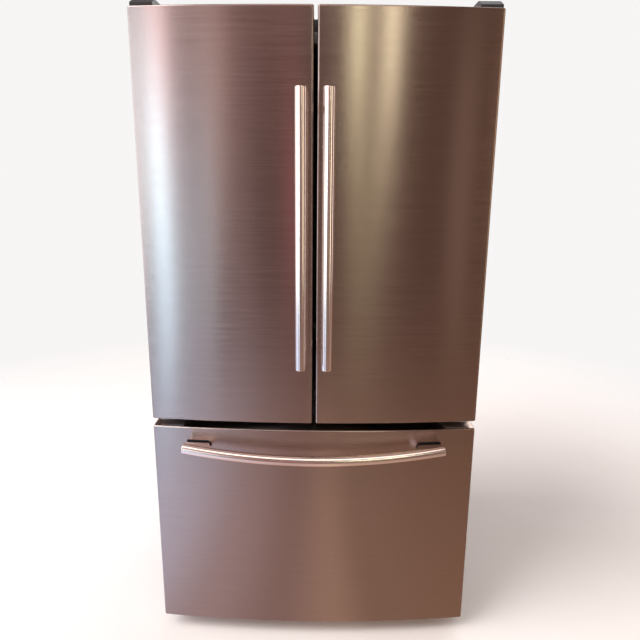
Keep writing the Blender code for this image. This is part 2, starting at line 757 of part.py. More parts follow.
def make_compressor():
    """A welded steel can on a foot plate, with a terminal box on its side."""
    seat = BASE_TOP + TOUCH
    foot = 0.012
    can = COMPRESSOR_HEIGHT - foot
    profile = [
        (0.0, can),
        (COMPRESSOR_RADIUS * 0.45, can),
        (COMPRESSOR_RADIUS * 0.82, can - 0.014),
        (COMPRESSOR_RADIUS, can - 0.042),
        (COMPRESSOR_RADIUS, 0.030),
        (COMPRESSOR_RADIUS * 0.85, 0.004),
        (COMPRESSOR_RADIUS * 0.50, -0.006),
        (0.0, -0.006),
    ]
    shape = bmesh.new()
    points = [shape.verts.new((across, 0, up)) for across, up in profile]
    for first, second in zip(points, points[1:]):
        shape.edges.new((first, second))
    item = object_from("compressor", shape, (COMPRESSOR_X, MACHINE_Y, seat + foot), smooth=True)
    screw = item.modifiers.new("turned", "SCREW")
    screw.steps = 20
    screw.render_steps = 20
    screw.use_merge_vertices = True
    screw.merge_threshold = 0.0001
    plate = box(
        "compressor_foot",
        (COMPRESSOR_X - 0.10, MACHINE_Y - 0.060, seat),
        (COMPRESSOR_X + 0.10, MACHINE_Y + 0.060, seat + foot),
    )
    terminals = box(
        "compressor_terminals",
        (COMPRESSOR_X - COMPRESSOR_RADIUS - 0.022, MACHINE_Y - 0.025, seat + 0.050),
        (COMPRESSOR_X - COMPRESSOR_RADIUS * 0.8, MACHINE_Y + 0.025, seat + 0.110),
    )
    add_part(join(item, plate, terminals), "black_steel")


def make_condenser():
    """One long tube bent back and forth, with its lowest run on the floor plate."""
    left, right = CONDENSER_FROM_SIDE - HALF, CONDENSER_INNER_X
    lowest = BASE_TOP + TOUCH + CONDENSER_RADIUS
    path = []
    for run in range(CONDENSER_RUNS):
        height = lowest + run * CONDENSER_PITCH
        ends = (left, right) if run % 2 == 0 else (right, left)
        path.append((ends[0], MACHINE_Y, height))
        path.append((ends[1], MACHINE_Y, height))
        if run < CONDENSER_RUNS - 1:
            bulge = CONDENSER_PITCH / 2 * (1 if ends[1] == right else -1)
            path.append((ends[1] + bulge, MACHINE_Y, height + CONDENSER_PITCH / 2))
    add_part(tube("condenser", path, CONDENSER_RADIUS, 1), "copper")


def make_fan():
    """The fan on its motor, which stands on the floor plate on a bracket."""
    motor_low = FAN_X + FAN_HUB_HALF + 0.006
    motor_high = motor_low + 0.045
    motor = rod("fan_motor", (motor_low, MACHINE_Y, FAN_Z), (motor_high, MACHINE_Y, FAN_Z), 0.026)
    shaft_start = (FAN_X - FAN_HUB_HALF, MACHINE_Y, FAN_Z)
    shaft = rod("fan_shaft", shaft_start, (motor_low + 0.005, MACHINE_Y, FAN_Z), AXLE_RADIUS, 12)
    stand = box(
        "fan_stand",
        (motor_low + 0.010, MACHINE_Y - 0.012, BASE_TOP + TOUCH),
        (motor_high - 0.010, MACHINE_Y + 0.012, FAN_Z),
    )
    foot = box(
        "fan_foot",
        (motor_low, MACHINE_Y - 0.040, BASE_TOP + TOUCH),
        (motor_high, MACHINE_Y + 0.040, BASE_TOP + TOUCH + 0.004),
    )
    add_part(join(motor, shaft, stand, foot), "black_steel")
    hub_low = (FAN_X - FAN_HUB_HALF, MACHINE_Y, FAN_Z)
    fan = rod("condenser_fan", hub_low, (FAN_X + FAN_HUB_HALF, MACHINE_Y, FAN_Z), FAN_HUB_RADIUS)
    for index in range(FAN_BLADES):
        angle = 2 * math.pi * index / FAN_BLADES
        middle = (FAN_HUB_RADIUS * 0.85 + FAN_RADIUS) / 2
        size = (0.030, 0.0025, FAN_RADIUS - FAN_HUB_RADIUS * 0.85)
        blade = object_from(f"blade_{index}", cube_shape(size))
        pitched = Euler((0, 0, math.radians(60))).to_matrix()
        turned = Euler((angle, 0, 0)).to_matrix()
        blade.rotation_euler = (turned @ pitched).to_euler()
        blade.location = Vector((FAN_X, MACHINE_Y, FAN_Z)) + turned @ Vector((0, 0, middle))
        join(fan, blade)
    bore_end = (FAN_X + 0.1, MACHINE_Y, FAN_Z)
    cut(fan, rod("fan_bore", (FAN_X - 0.1, MACHINE_Y, FAN_Z), bore_end, AXLE_RADIUS + PIN_SLACK, 12))
    add_part(fan, "dark_plastic", "condenser_fan")


# Running gear


def make_running_gear():
    for side, sign in SIDES:
        x = sign * ROLLER_X
        start, end = x - ROLLER_HALF_WIDTH, x + ROLLER_HALF_WIDTH
        ends = (start, ROLLER_Y, ROLLER_RADIUS), (end, ROLLER_Y, ROLLER_RADIUS)
        roller = rod(side + "_roller", *ends, ROLLER_RADIUS, 24)
        bore = rod(
            side + "_roller_bore",
            (start - 0.01, ROLLER_Y, ROLLER_RADIUS),
            (end + 0.01, ROLLER_Y, ROLLER_RADIUS),
            AXLE_RADIUS + PIN_SLACK,
            12,
        )
        add_part(cut(roller, bore), "grey_rubber", side + "_roller")
        x = sign * LEG_X
        foot = rod(side + "_leg", (x, LEG_Y, 0), (x, LEG_Y, LEG_FOOT_HEIGHT), LEG_FOOT_RADIUS, 20)
        stem_low, stem_high = (x, LEG_Y, LEG_FOOT_HEIGHT - 0.002), (x, LEG_Y, LEG_STEM_TOP)
        stem = rod(side + "_leg_stem", stem_low, stem_high, LEG_STEM_RADIUS, 12)
        add_part(join(foot, stem), "black_steel", side + "_leg")


# Hinges


def make_top_hinge(side, sign):
    """A cranked plate on the case top, with the pin that drops into the door."""
    arm_low = DOOR_TOP + HINGE_OVER_DOOR
    arm_high = arm_low + HINGE_PLATE
    nose, tail = HINGE_Y - HINGE_NOSE, HINGE_Y + HINGE_BACK
    crank = CASE_FRONT_Y + 0.0125
    seat = CASE_TOP + TOUCH
    outline = [
        (tail, seat),
        (tail, seat + HINGE_PLATE),
        (crank + HINGE_PLATE, seat + HINGE_PLATE),
        (crank + HINGE_PLATE, arm_high),
        (nose, arm_high),
        (nose, arm_low),
        (crank, arm_low),
        (crank, seat),
    ]
    low, high = spread(sign, HINGE_X - HINGE_HALF_WIDTH, HINGE_X + HINGE_HALF_WIDTH)
    hinge = prism(side + "_top_hinge", [outline], "side", low, high)
    pin_low = (sign * HINGE_X, HINGE_Y, DOOR_TOP - HINGE_PIN_DEPTH)
    pin_high = (sign * HINGE_X, HINGE_Y, arm_low + HINGE_PLATE / 2)
    add_part(join(hinge, rod(side + "_top_pin", pin_low, pin_high, HINGE_PIN_RADIUS)), "zinc_steel")


def make_hinge_cover(side, sign):
    """A thin cap over the top hinge, open below."""
    nose, tail = HINGE_Y - COVER_SETBACK, HINGE_Y + HINGE_BACK + 0.005
    door_side, case_side = DOOR_TOP + 0.001, CASE_TOP + TOUCH
    step = CASE_FRONT_Y + 0.002
    slope = 0.030
    outline = [
        (nose, door_side),
        (step, door_side),
        (step, case_side),
        (tail, case_side),
        (tail, OVERALL_TOP - 0.006),
        (tail - 0.006, OVERALL_TOP),
        (nose + slope, OVERALL_TOP),
        (nose, OVERALL_TOP - 0.014),
    ]
    hollow = [
        (nose + COVER_WALL, case_side - 0.01),
        (tail - COVER_WALL, case_side - 0.01),
        (tail - COVER_WALL, OVERALL_TOP - 0.007),
        (tail - 0.007, OVERALL_TOP - COVER_WALL),
        (nose + slope, OVERALL_TOP - COVER_WALL),
        (nose + COVER_WALL, OVERALL_TOP - 0.015),
    ]
    low, high = spread(sign, COVER_INNER_X, HALF - TOUCH)
    cover = prism(side + "_hinge_cover", [outline], "side", low, high)
    inside = prism(side + "_cover_inside", [hollow], "side", low + COVER_WALL, high - COVER_WALL)
    add_part(cut(cover, inside), "dark_plastic")


def make_middle_hinge(side, sign):
    """A plate on the case's frame and a shelf with the pin that the door stands on."""
    low, high = spread(sign, HINGE_X - MIDDLE_HINGE_INNER, HINGE_X + MIDDLE_HINGE_OUTER)
    back = CASE_FRONT_Y - TOUCH
    half_shelf = 0.0025
    plate = box(
        side + "_middle_hinge",
        (low, back - 0.0025, MIDDLE_GAP_Z - 0.0235),
        (high, back, MIDDLE_GAP_Z + 0.0235),
    )
    shelf = box(
        side + "_hinge_shelf",
        (low, HINGE_Y - HINGE_NOSE, MIDDLE_GAP_Z - half_shelf),
        (high, back - 0.001, MIDDLE_GAP_Z + half_shelf),
    )
    pin_low = (sign * HINGE_X, HINGE_Y, MIDDLE_GAP_Z)
    pin_high = (sign * HINGE_X, HINGE_Y, DOOR_BOTTOM + HINGE_PIN_DEPTH)
    pin = rod(side + "_middle_pin", pin_low, pin_high, HINGE_PIN_RADIUS)
    add_part(join(plate, shelf, pin), "zinc_steel")


# Doors


def door_plan(left, right, inset, back):
    """A door from above: convex face, rounded front corners, straight back."""
    radius = DOOR_EDGE_RADIUS - inset
    first = left + inset + radius
    last = right - inset - radius
    points = [(left + inset, back)]
    points += arc((first, face_y(first) + inset + radius), radius, 180, 270, CORNER_STEPS)
    for step in range(1, FACE_STEPS):
        x = first + (last - first) * step / FACE_STEPS
        points.append((x, face_y(x) + inset))
    points += arc((last, face_y(last) + inset + radius), radius, 270, 360, CORNER_STEPS)
    points.append((right - inset, back))
    return points


def make_skin(name, left, right, bottom, top, holes, body):
    """The folded steel front, open at the back."""
    skin = prism(name, [door_plan(left, right, 0, DOOR_BACK_Y)], "plan", bottom, top)
    inside = door_plan(left, right, SHEET, DOOR_BACK_Y + 0.05)
    hollow = prism(name + "_hollow", [inside], "plan", bottom + SHEET, top - SHEET)
    add_part(cut(skin, hollow, *holes), "bronze_steel", body)


def hinge_holes(name, sign):
    """Bores for the top and bottom hinge pins, one pair for a door's skin or foam."""
    radius = HINGE_PIN_RADIUS + PIN_SLACK
    deep = HINGE_PIN_DEPTH + 0.001
    x = sign * HINGE_X
    top = rod(name + "_top_bore", (x, HINGE_Y, DOOR_TOP - deep), (x, HINGE_Y, DOOR_TOP + 0.01), radius)
    low = (x, HINGE_Y, DOOR_BOTTOM - 0.01)
    bottom = rod(name + "_bottom_bore", low, (x, HINGE_Y, DOOR_BOTTOM + deep), radius)
    return top, bottom


def make_door_liner(side, sign, left, right):
    """Foam-backed inner door: the core inside the skin and the raised dyke for the bins."""
    edge = SHEET + TOUCH
    name = side + "_door_liner"
    core = prism(
        name,
        [door_plan(left, right, edge, DOOR_BACK_Y)],
        "plan",
        DOOR_BOTTOM + edge,
        DOOR_TOP - edge,
    )
    start, end = spread(-sign, DYKE_START, DYKE_END)
    start, end = start + sign * HINGE_X, end + sign * HINGE_X
    outer = rectangle((start, DYKE_BOTTOM), (end, DYKE_TOP), DYKE_RADIUS)
    inner = rectangle(
        (start + DYKE_WALL, DYKE_BOTTOM + DYKE_WALL), (end - DYKE_WALL, DYKE_TOP - DYKE_WALL)
    )
    dyke = prism(side + "_dyke", [outer, inner], "front", DOOR_BACK_Y - 0.01, HINGE_Y + DYKE_REACH)
    join(core, dyke)
    if side == "left":
        join(core, *mullion_lugs())
    add_part(cut(core, *hinge_holes(name, sign)), "white_plastic", side + "_door")


def mullion_lugs():
    """Two lugs on the left door, past the mullion's ends, with pins that run into it."""
    inner, outer = MULLION_X - 0.024, MULLION_X + 0.0085
    gasket_side = -GASKET_FROM_MIDDLE - GASKET_WIDTH - 0.0025
    rear = MULLION_Y + MULLION_THICKNESS / 2 - 0.001
    past_gasket = CASE_FRONT_Y + SHEET / 3
    outline = [
        (inner, DOOR_BACK_Y - 0.01),
        (gasket_side, DOOR_BACK_Y - 0.01),
        (gasket_side, past_gasket),
        (outer, past_gasket),
        (outer, rear),
        (inner, rear),
    ]
    tools = []
    for name, end, way in (("lower", MULLION_BOTTOM, -1), ("upper", MULLION_TOP, 1)):
        near = end + way * PIN_SLACK
        tools.append(prism(name + "_lug", [outline], "plan", near, near + way * LUG_HEIGHT))
        start = (MULLION_X, MULLION_Y, end - way * MULLION_PIN_LENGTH)
        finish = (MULLION_X, MULLION_Y, near + way * LUG_HEIGHT / 2)
        tools.append(rod(name + "_lug_pin", start, finish, MULLION_PIN_RADIUS, 12))
    return tools


def make_mullion():
    """The flipper bar that closes the gap between the doors, folded back at rest.

    Its heel is round about the pivot, so it turns without reaching the gasket.
    """
    side = MULLION_THICKNESS / 2
    outline = arc((MULLION_X, MULLION_Y), side, 180, 360, 10)
    outline += [(MULLION_X + side, MULLION_Y + MULLION_REACH)]
    outline += [(MULLION_X - side, MULLION_Y + MULLION_REACH)]
    bar = prism("mullion", [outline], "plan", MULLION_BOTTOM, MULLION_TOP)
    deep = MULLION_PIN_LENGTH + 0.001
    radius = MULLION_PIN_RADIUS + PIN_SLACK
    for name, end, way in (("lower", MULLION_BOTTOM, -1), ("upper", MULLION_TOP, 1)):
        start = (MULLION_X, MULLION_Y, end - way * deep)
        finish = (MULLION_X, MULLION_Y, end + way * 0.01)
        cut(bar, rod(name + "_mullion_bore", start, finish, radius, 12))
    add_part(bar, "dark_plastic", "mullion")


def make_gasket(name, left, right, bottom, top, body):
    outer = rectangle((left, bottom), (right, top))
    inner = rectangle(
        (left + GASKET_WIDTH, bottom + GASKET_WIDTH), (right - GASKET_WIDTH, top - GASKET_WIDTH)
    )
    ring = prism(name, [outer, inner], "front", DOOR_BACK_Y + TOUCH, CASE_FRONT_Y - TOUCH)
    add_part(ring, "grey_rubber", body)


def make_door_handle(side, sign):
    """A straight vertical bar on two short posts."""
    x = sign * DOOR_HANDLE_X
    surface = face_y(DOOR_HANDLE_X)
    y = surface - DOOR_HANDLE_STANDOFF
    bottom, top = DOOR_HANDLE_BOTTOM, DOOR_HANDLE_TOP
    bar = rod(side + "_door_handle", (x, y, bottom), (x, y, top), HANDLE_RADIUS, 20)
    for name, z in (("lower", bottom + POST_INSET), ("upper", top - POST_INSET)):
        join(bar, rod(f"{side}_{name}_post", (x, y, z), (x, surface - TOUCH * 2, z), POST_RADIUS))
    add_part(bar, "polished_steel", side + "_door")


def make_door_bin(name, sign, bottom, height, body):
    """A clear bin between the dyke's two walls."""
    inner = DYKE_START + DYKE_WALL + TOUCH
    outer = DYKE_END - DYKE_WALL - TOUCH
    low, high = spread(-sign, inner, outer)
    bin_tray = tray(
        name,
        (low + sign * HINGE_X, DOOR_BACK_Y + TOUCH, bottom),
        (high + sign * HINGE_X, HINGE_Y + BIN_REACH, bottom + height),
        BIN_WALL,
        0.012,
    )
    add_part(bin_tray, "clear_plastic", body)


def make_dairy_lid():
    """An L-section flap hinged at the back, over the dairy bin."""
    barrel = DAIRY_BARREL_RADIUS
    back, front = DAIRY_PIVOT_Y, HINGE_Y + BIN_REACH
    under = DAIRY_PIVOT_Z - barrel
    outline = arc((back, DAIRY_PIVOT_Z), barrel, 90, 270, 6)
    outline += [
        (front - LID_THICKNESS, under),
        (front - LID_THICKNESS, DAIRY_PIVOT_Z - LID_SKIRT),
        (front, DAIRY_PIVOT_Z - LID_SKIRT),
        (front, under + LID_THICKNESS),
        (back + barrel, under + LID_THICKNESS),
        (back + barrel, DAIRY_PIVOT_Z + barrel),
    ]
    start = -HINGE_X + DYKE_START + DYKE_WALL + TOUCH
    end = -HINGE_X + DYKE_END - DYKE_WALL - TOUCH
    add_part(prism("dairy_lid", [outline], "side", start, end), "clear_plastic", "dairy_lid")


# Name, place of the bin's bottom between the dyke's lower and upper walls, height
LEFT_BINS = (("left_middle_bin", 0.4056, 0.100), ("left_lower_bin", 0.0111, 0.130))
RIGHT_BINS = (
    ("right_upper_bin", 0.7222, 0.095),
    ("right_middle_bin", 0.3667, 0.100),
    ("right_lower_bin", 0.0111, 0.130),
)
DAIRY_BIN_HEIGHT = 0.065


def between(low, high, share):
    return low + (high - low) * share


def make_doors():
    edges = {"left": (-HALF, -DOOR_GAP / 2), "right": (DOOR_GAP / 2, HALF)}
    bins = {"left": LEFT_BINS, "right": RIGHT_BINS}
    for side, sign in SIDES:
        left, right = edges[side]
        body = side + "_door"
        skin = side + "_door_skin"
        make_skin(skin, left, right, DOOR_BOTTOM, DOOR_TOP, hinge_holes(skin, sign), body)
        make_door_liner(side, sign, left, right)
        low, high = spread(sign, GASKET_FROM_MIDDLE, HALF - GASKET_FROM_SIDE)
        make_gasket(side + "_door_gasket", low, high, GASKET_BOTTOM, GASKET_TOP, body)
        make_door_handle(side, sign)
        for name, share, height in bins[side]:
            bottom = between(DYKE_BOTTOM + DYKE_WALL, DYKE_TOP - DYKE_WALL, share)
            make_door_bin(name, sign, bottom, height, body)
        make_top_hinge(side, sign)
        make_hinge_cover(side, sign)
        make_middle_hinge(side, sign)
    make_mullion()
    dairy_bottom = DAIRY_PIVOT_Z - DAIRY_BIN_BELOW_LID
    make_door_bin("dairy_bin", -1, dairy_bottom, DAIRY_BIN_HEIGHT, "left_door")
    make_dairy_lid()


# Fridge interior


def make_shelf(name, sign, height, depth):
    """A glass shelf on two brackets that reach back to the rear wall."""
    low, high = spread(sign, SHELF_MIDDLE_GAP, INNER_HALF - TOUCH)
    back = INNER_BACK_Y - TOUCH
    shelf = box(name, (low, back - depth, height - SHELF_GLASS), (high, back, height), 0.001)
    bracket = [
        (back, height - SHELF_GLASS / 2),
        (back - 0.260, height - SHELF_GLASS / 2),
        (back - 0.255, height - SHELF_GLASS - 0.010),
        (back, height - SHELF_GLASS - 0.045),
    ]
    inset = 0.030
    for end, x in (("a", low + inset), ("b", high - inset)):
        join(shelf, prism(f"{name}_bracket_{end}", [bracket], "side", x - 0.002, x + 0.002))
    add_part(shelf, "shelf_glass")


# Name, side, place of the glass between the crispers' cover and the ceiling
SHELVES = (
    ("upper_left_shelf", -1, 0.630),
    ("lower_left_shelf", -1, 0.292),
    ("upper_right_shelf", 1, 0.539),
    ("lower_right_shelf", 1, 0.227),
)


def make_crisper_cover():
    """The shelf over the crispers, with the rails their rims hang on."""
    top = CRISPER_COVER_Z + CRISPER_COVER_THICKNESS
    under = CRISPER_COVER_Z
    lip_top = CRISPER_RIM_Z - TOUCH
    lip_low = lip_top - CRISPER_LIP
    wall = INNER_HALF - TOUCH
    rail = CRISPER_OUTER_X + RAIL_SLACK
    rib = CRISPER_INNER_X - RAIL_SLACK
    half = [
        (wall, top),
        (wall, lip_low),
        (CRISPER_OUTER_X - CRISPER_LIP, lip_low),
        (CRISPER_OUTER_X - CRISPER_LIP, lip_top),
        (rail, lip_top),
        (rail, under),
        (rib, under),
        (rib, lip_top),
        (CRISPER_INNER_X + CRISPER_LIP, lip_top),
        (CRISPER_INNER_X + CRISPER_LIP, lip_low),
    ]
    outline = half + [(-x, z) for x, z in reversed(half)]
    cover = prism("crisper_cover", [outline], "front", SHELF_FRONT_Y, INNER_BACK_Y - TOUCH)
    add_part(cover, "shelf_glass")


def make_crisper(side, sign):
    """A clear drawer that hangs by its rim, with a flat front."""
    low, high = spread(sign, CRISPER_INNER_X + CRISPER_BODY_INSET, CRISPER_OUTER_X - CRISPER_BODY_INSET)
    front, back = CRISPER_FRONT_Y, CRISPER_BACK_Y
    rim_top = CRISPER_RIM_Z + CRISPER_RIM
    drawer = tray(
        side + "_crisper", (low, front, CRISPER_BOTTOM), (high, back, rim_top), CRISPER_WALL, 0.010
    )
    outer_low, outer_high = spread(sign, CRISPER_INNER_X, CRISPER_OUTER_X)
    inset = CRISPER_WALL * 0.7
    rim = prism(
        side + "_crisper_rim",
        [
            rectangle((outer_low, front), (outer_high, back)),
            rectangle((low + inset, front + inset), (high - inset, back - inset), 0.008),
        ],
        "plan",
        CRISPER_RIM_Z,
        rim_top - TOUCH,
    )
    add_part(join(drawer, rim), "clear_plastic", side + "_crisper")


def make_ceiling_light():
    low = FRIDGE_CEILING - TOUCH - 0.006
    lens = box("ceiling_light", (-0.120, -0.060, low), (0.120, 0.060, FRIDGE_CEILING - TOUCH), 0.002)
    add_part(lens, "white_plastic")


# Freezer


def make_slide(side, sign):
    """The fixed and middle members of one telescopic runner."""
    wall = INNER_HALF - TOUCH
    z_low, z_high = SLIDE_CENTRE_Z - SLIDE_HALF_HEIGHT, SLIDE_CENTRE_Z + SLIDE_HALF_HEIGHT
    lip = wall - SLIDE_WIDTH
    web = wall - SLIDE_WEB
    channel = [
        (wall, z_low),
        (wall, z_high),
        (lip, z_high),
        (lip, z_high - SLIDE_WEB),
        (web, z_high - SLIDE_WEB),
        (web, z_low + SLIDE_WEB),
        (lip, z_low + SLIDE_WEB),
        (lip, z_low),
    ]
    inner = wall - SLIDE_MIDDLE_INNER
    outer = web - SLIDE_SLACK
    mid_low, mid_high = z_low + SLIDE_WEB + SLIDE_SLACK, z_high - SLIDE_WEB - SLIDE_SLACK
    groove = inner + SLIDE_GROOVE_DEPTH
    middle = [
        (outer, mid_low),
        (outer, mid_high),
        (inner, mid_high),
        (inner, SLIDE_CENTRE_Z + SLIDE_GROOVE_HALF),
        (groove, SLIDE_CENTRE_Z + SLIDE_GROOVE_HALF),
        (groove, SLIDE_CENTRE_Z - SLIDE_GROOVE_HALF),
        (inner, SLIDE_CENTRE_Z - SLIDE_GROOVE_HALF),
        (inner, mid_low),
    ]
    for name, outline, body in (
        (side + "_slide_outer", channel, "root"),
        (side + "_slide_middle", middle, "middle_slides"),
    ):
        outline = [(sign * x, z) for x, z in outline]
        add_part(prism(name, [outline], "front", SLIDE_FRONT_Y, SLIDE_BACK_Y), "zinc_steel", body)


def make_drawer_frame():
    """The runners' inner members, held square by a front plate and a rear bar."""
    groove = INNER_HALF - TOUCH - SLIDE_MIDDLE_INNER + SLIDE_GROOVE_DEPTH
    outer = groove - SLIDE_SLACK
    inner = outer - SLIDE_INNER_WIDTH
    half = SLIDE_GROOVE_HALF - SLIDE_SLACK
    low, high = SLIDE_CENTRE_Z - half, SLIDE_CENTRE_Z + half
    front, back = PLUG_BACK_Y + TOUCH, SLIDE_BACK_Y
    plate_back = BASKET_FRONT_Y - 0.003
    frame = box("drawer_frame", (-outer, front, SLIDE_CENTRE_Z - 0.045), (outer, plate_back, high))
    rear = box("drawer_rear_bar", (-outer, BASKET_BACK_Y + 0.003, low), (outer, back - 0.002, low + 0.008))
    join(frame, rear)
    for side, sign in SIDES:
        edge_low, edge_high = spread(sign, inner, outer)
        join(frame, box(side + "_inner_member", (edge_low, front, low), (edge_high, back, high)))
    add_part(frame, "zinc_steel", "freezer_drawer")
    return high


def make_basket(member_top):
    """The deep lower basket, whose side flanges lie on the runners' inner members."""
    basket = tray(
        "freezer_basket",
        (-BASKET_HALF_WIDTH, BASKET_FRONT_Y, BASKET_BOTTOM),
        (BASKET_HALF_WIDTH, BASKET_BACK_Y, BASKET_TOP),
        BASKET_WALL,
        0.014,
    )
    low = member_top + TOUCH
    for side, sign in SIDES:
        start, end = spread(sign, BASKET_HALF_WIDTH - BASKET_WALL / 2, BASKET_FLANGE_X)
        ends = (BASKET_FRONT_Y + 0.02, BASKET_BACK_Y - 0.02)
        join(basket, box(side + "_basket_flange", (start, ends[0], low), (end, ends[1], low + 0.003)))
    add_part(basket, "clear_plastic", "freezer_drawer")


def make_upper_drawer():
    """The shallow upper drawer, whose rim slides on the liner's ribs."""
    top = UPPER_DRAWER_RIM_Z + UPPER_DRAWER_RIM
    half = UPPER_DRAWER_HALF_WIDTH
    front, back = UPPER_DRAWER_FRONT_Y, UPPER_DRAWER_BACK_Y
    drawer = tray(
        "upper_freezer_drawer",
        (-half, front, top - UPPER_DRAWER_DEPTH),
        (half, back, top),
        BASKET_WALL,
        0.012,
    )
    inset = BASKET_WALL * 0.7
    rim = prism(
        "upper_drawer_rim",
        [
            rectangle((-UPPER_DRAWER_RIM_X, front), (UPPER_DRAWER_RIM_X, back)),
            rectangle((-half + inset, front + inset), (half - inset, back - inset), 0.010),
        ],
        "plan",
        UPPER_DRAWER_RIM_Z,
        top - TOUCH,
    )
    add_part(join(drawer, rim), "clear_plastic", "upper_freezer_drawer")


def make_ice_maker():
    """A housing under the freezer's ceiling with a shallow mould below it."""
    top = FREEZER_CEILING - TOUCH
    left, back = 0.040 - INNER_HALF, INNER_BACK_Y - 0.080
    housing = box("ice_maker", (left, back - 0.240, top - 0.048), (left + 0.180, back, top), 0.004)
    mould = box(
        "ice_mould", (left + 0.030, back - 0.225, top - 0.066), (left + 0.145, back - 0.015, top - 0.040)
    )
    add_part(join(housing, mould), "white_plastic")


def make_drawer_front():
    body = "freezer_drawer"
    edge = SHEET + TOUCH
    make_skin("freezer_door_skin", -HALF, HALF, DRAWER_BOTTOM, DRAWER_TOP, (), body)
    core = prism(
        "freezer_door_liner",
        [door_plan(-HALF, HALF, edge, DOOR_BACK_Y)],
        "plan",
        DRAWER_BOTTOM + edge,
        DRAWER_TOP - edge,
    )
    plug = box(
        "freezer_plug",
        (-PLUG_HALF_WIDTH, DOOR_BACK_Y - 0.01, FREEZER_FLOOR + PLUG_MARGIN),
        (PLUG_HALF_WIDTH, PLUG_BACK_Y, FREEZER_CEILING - PLUG_MARGIN),
        0.004,
    )
    add_part(join(core, plug), "white_plastic", body)
    side = HALF - GASKET_FROM_SIDE
    bottom, top = FREEZER_FLOOR - 0.022, MIDDLE_GAP_Z - 0.0265
    make_gasket("freezer_door_gasket", -side, side, bottom, top, body)


def face_strip(start, end, near, far, sign, steps=6):
    """A plan strip that follows the curved face, between two distances in front of it."""
    xs = [start + (end - start) * step / steps for step in range(steps + 1)]
    outline = [(sign * x, face_y(x) - near) for x in xs]
    outline += [(sign * x, face_y(x) - far) for x in reversed(xs)]
    return outline


def make_handle_mount(side, sign):
    """A thin plate on the drawer's face, with an ear and the pin that the bar turns on."""
    low, high = BAR_END_Z - MOUNT_HALF_HEIGHT, BAR_END_Z + MOUNT_HALF_HEIGHT
    strip = face_strip(MOUNT_INNER_X, MOUNT_OUTER_X, TOUCH * 2, MOUNT_PLATE, sign)
    mount = prism(side + "_handle_mount", [strip], "plan", low, high)
    ear_low, ear_high = spread(sign, EAR_X - EAR_HALF_WIDTH, EAR_X + EAR_HALF_WIDTH)
    rear = face_y(EAR_X) - MOUNT_PLATE / 2
    reach = PIVOT_PIN_RADIUS + 0.003
    ear = box(
        side + "_ear",
        (ear_low, BAR_PIVOT_Y - reach, BAR_END_Z - reach),
        (ear_high, rear, BAR_END_Z + reach),
    )
    start = (sign * EAR_X - PIVOT_PIN_HALF, BAR_PIVOT_Y, BAR_END_Z)
    end = (sign * EAR_X + PIVOT_PIN_HALF, BAR_PIVOT_Y, BAR_END_Z)
    pin = rod(side + "_pivot_pin", start, end, PIVOT_PIN_RADIUS, 12)
    add_part(join(mount, ear, pin), "black_steel", "freezer_drawer")


def bar_centre(t):
    """The freezer bar's centre line: t runs from -1 to 1 across it."""
    x = t * BAR_END_X
    standoff = BAR_MIDDLE_STANDOFF + (BAR_END_STANDOFF - BAR_MIDDLE_STANDOFF) * t * t
    return x, face_y(x) - standoff, BAR_END_Z - BAR_DROOP * (1 - t * t)


def make_freezer_handle():
    """A bowed bar with an arm at each end that turns on the mount's pin."""
    path = [bar_centre(2 * step / BAR_STEPS - 1) for step in range(BAR_STEPS + 1)]
    bar = tube("freezer_handle", path, HANDLE_RADIUS, 3)
    rear_gap = MOUNT_PLATE + ARM_RUNNING_GAP
    for side, sign in SIDES:
        xs = (ARM_DOOR_INNER_X, MOUNT_OUTER_X)
        outline = [(sign * x, face_y(x) - rear_gap) for x in xs]
        outline += [(sign * x, face_y(x) - BAR_END_STANDOFF) for x in (MOUNT_OUTER_X, MOUNT_INNER_X)]
        low, high = BAR_END_Z - ARM_HALF_HEIGHT, BAR_END_Z + ARM_HALF_HEIGHT
        join(bar, prism(side + "_arm", [outline], "plan", low, high))
        slot_half = EAR_HALF_WIDTH + EAR_SLACK
        slot_low, slot_high = spread(sign, EAR_X - slot_half, EAR_X + slot_half)
        reach = PIVOT_PIN_RADIUS + 0.003 + 0.0035
        slot = box(
            side + "_arm_slot",
            (slot_low, BAR_PIVOT_Y - reach, BAR_END_Z - 0.05),
            (slot_high, face_y(EAR_X), BAR_END_Z + 0.05),
        )
        far = PIVOT_PIN_HALF + 0.0005
        start = (sign * EAR_X - far, BAR_PIVOT_Y, BAR_END_Z)
        end = (sign * EAR_X + far, BAR_PIVOT_Y, BAR_END_Z)
        bore = rod(side + "_arm_bore", start, end, PIVOT_PIN_RADIUS + PIN_SLACK, 12)
        cut(bar, slot, bore)
    add_part(bar, "polished_steel", "freezer_handle")


make_cabinet_shell()
make_back_panel()
make_insulation()
make_fridge_liner()
make_freezer_liner()
make_base_pan()
make_kick_plate()
make_machine_cover()
make_compressor()
make_condenser()
make_fan()
make_running_gear()
make_doors()
for shelf_name, shelf_sign, shelf_share in SHELVES:
    shelf_z = between(CRISPER_COVER_Z + CRISPER_COVER_THICKNESS, FRIDGE_CEILING, shelf_share)
    make_shelf(shelf_name, shelf_sign, shelf_z, INNER_BACK_Y - SHELF_FRONT_Y)
make_crisper_cover()
make_ceiling_light()
for side_name, side_sign in SIDES:
    make_crisper(side_name, side_sign)
    make_slide(side_name, side_sign)
    make_handle_mount(side_name, side_sign)
make_drawer_front()
make_basket(make_drawer_frame())
make_upper_drawer()
make_ice_maker()
make_freezer_handle()
bpy.context.view_layer.update()
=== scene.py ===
# The looks of a French-door refrigerator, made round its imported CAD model.
# Metres, +Z up. The doors face -Y, and left and right are the user's.
import json
import math

import bmesh
import bpy
from mathutils import Euler, Matrix, Vector

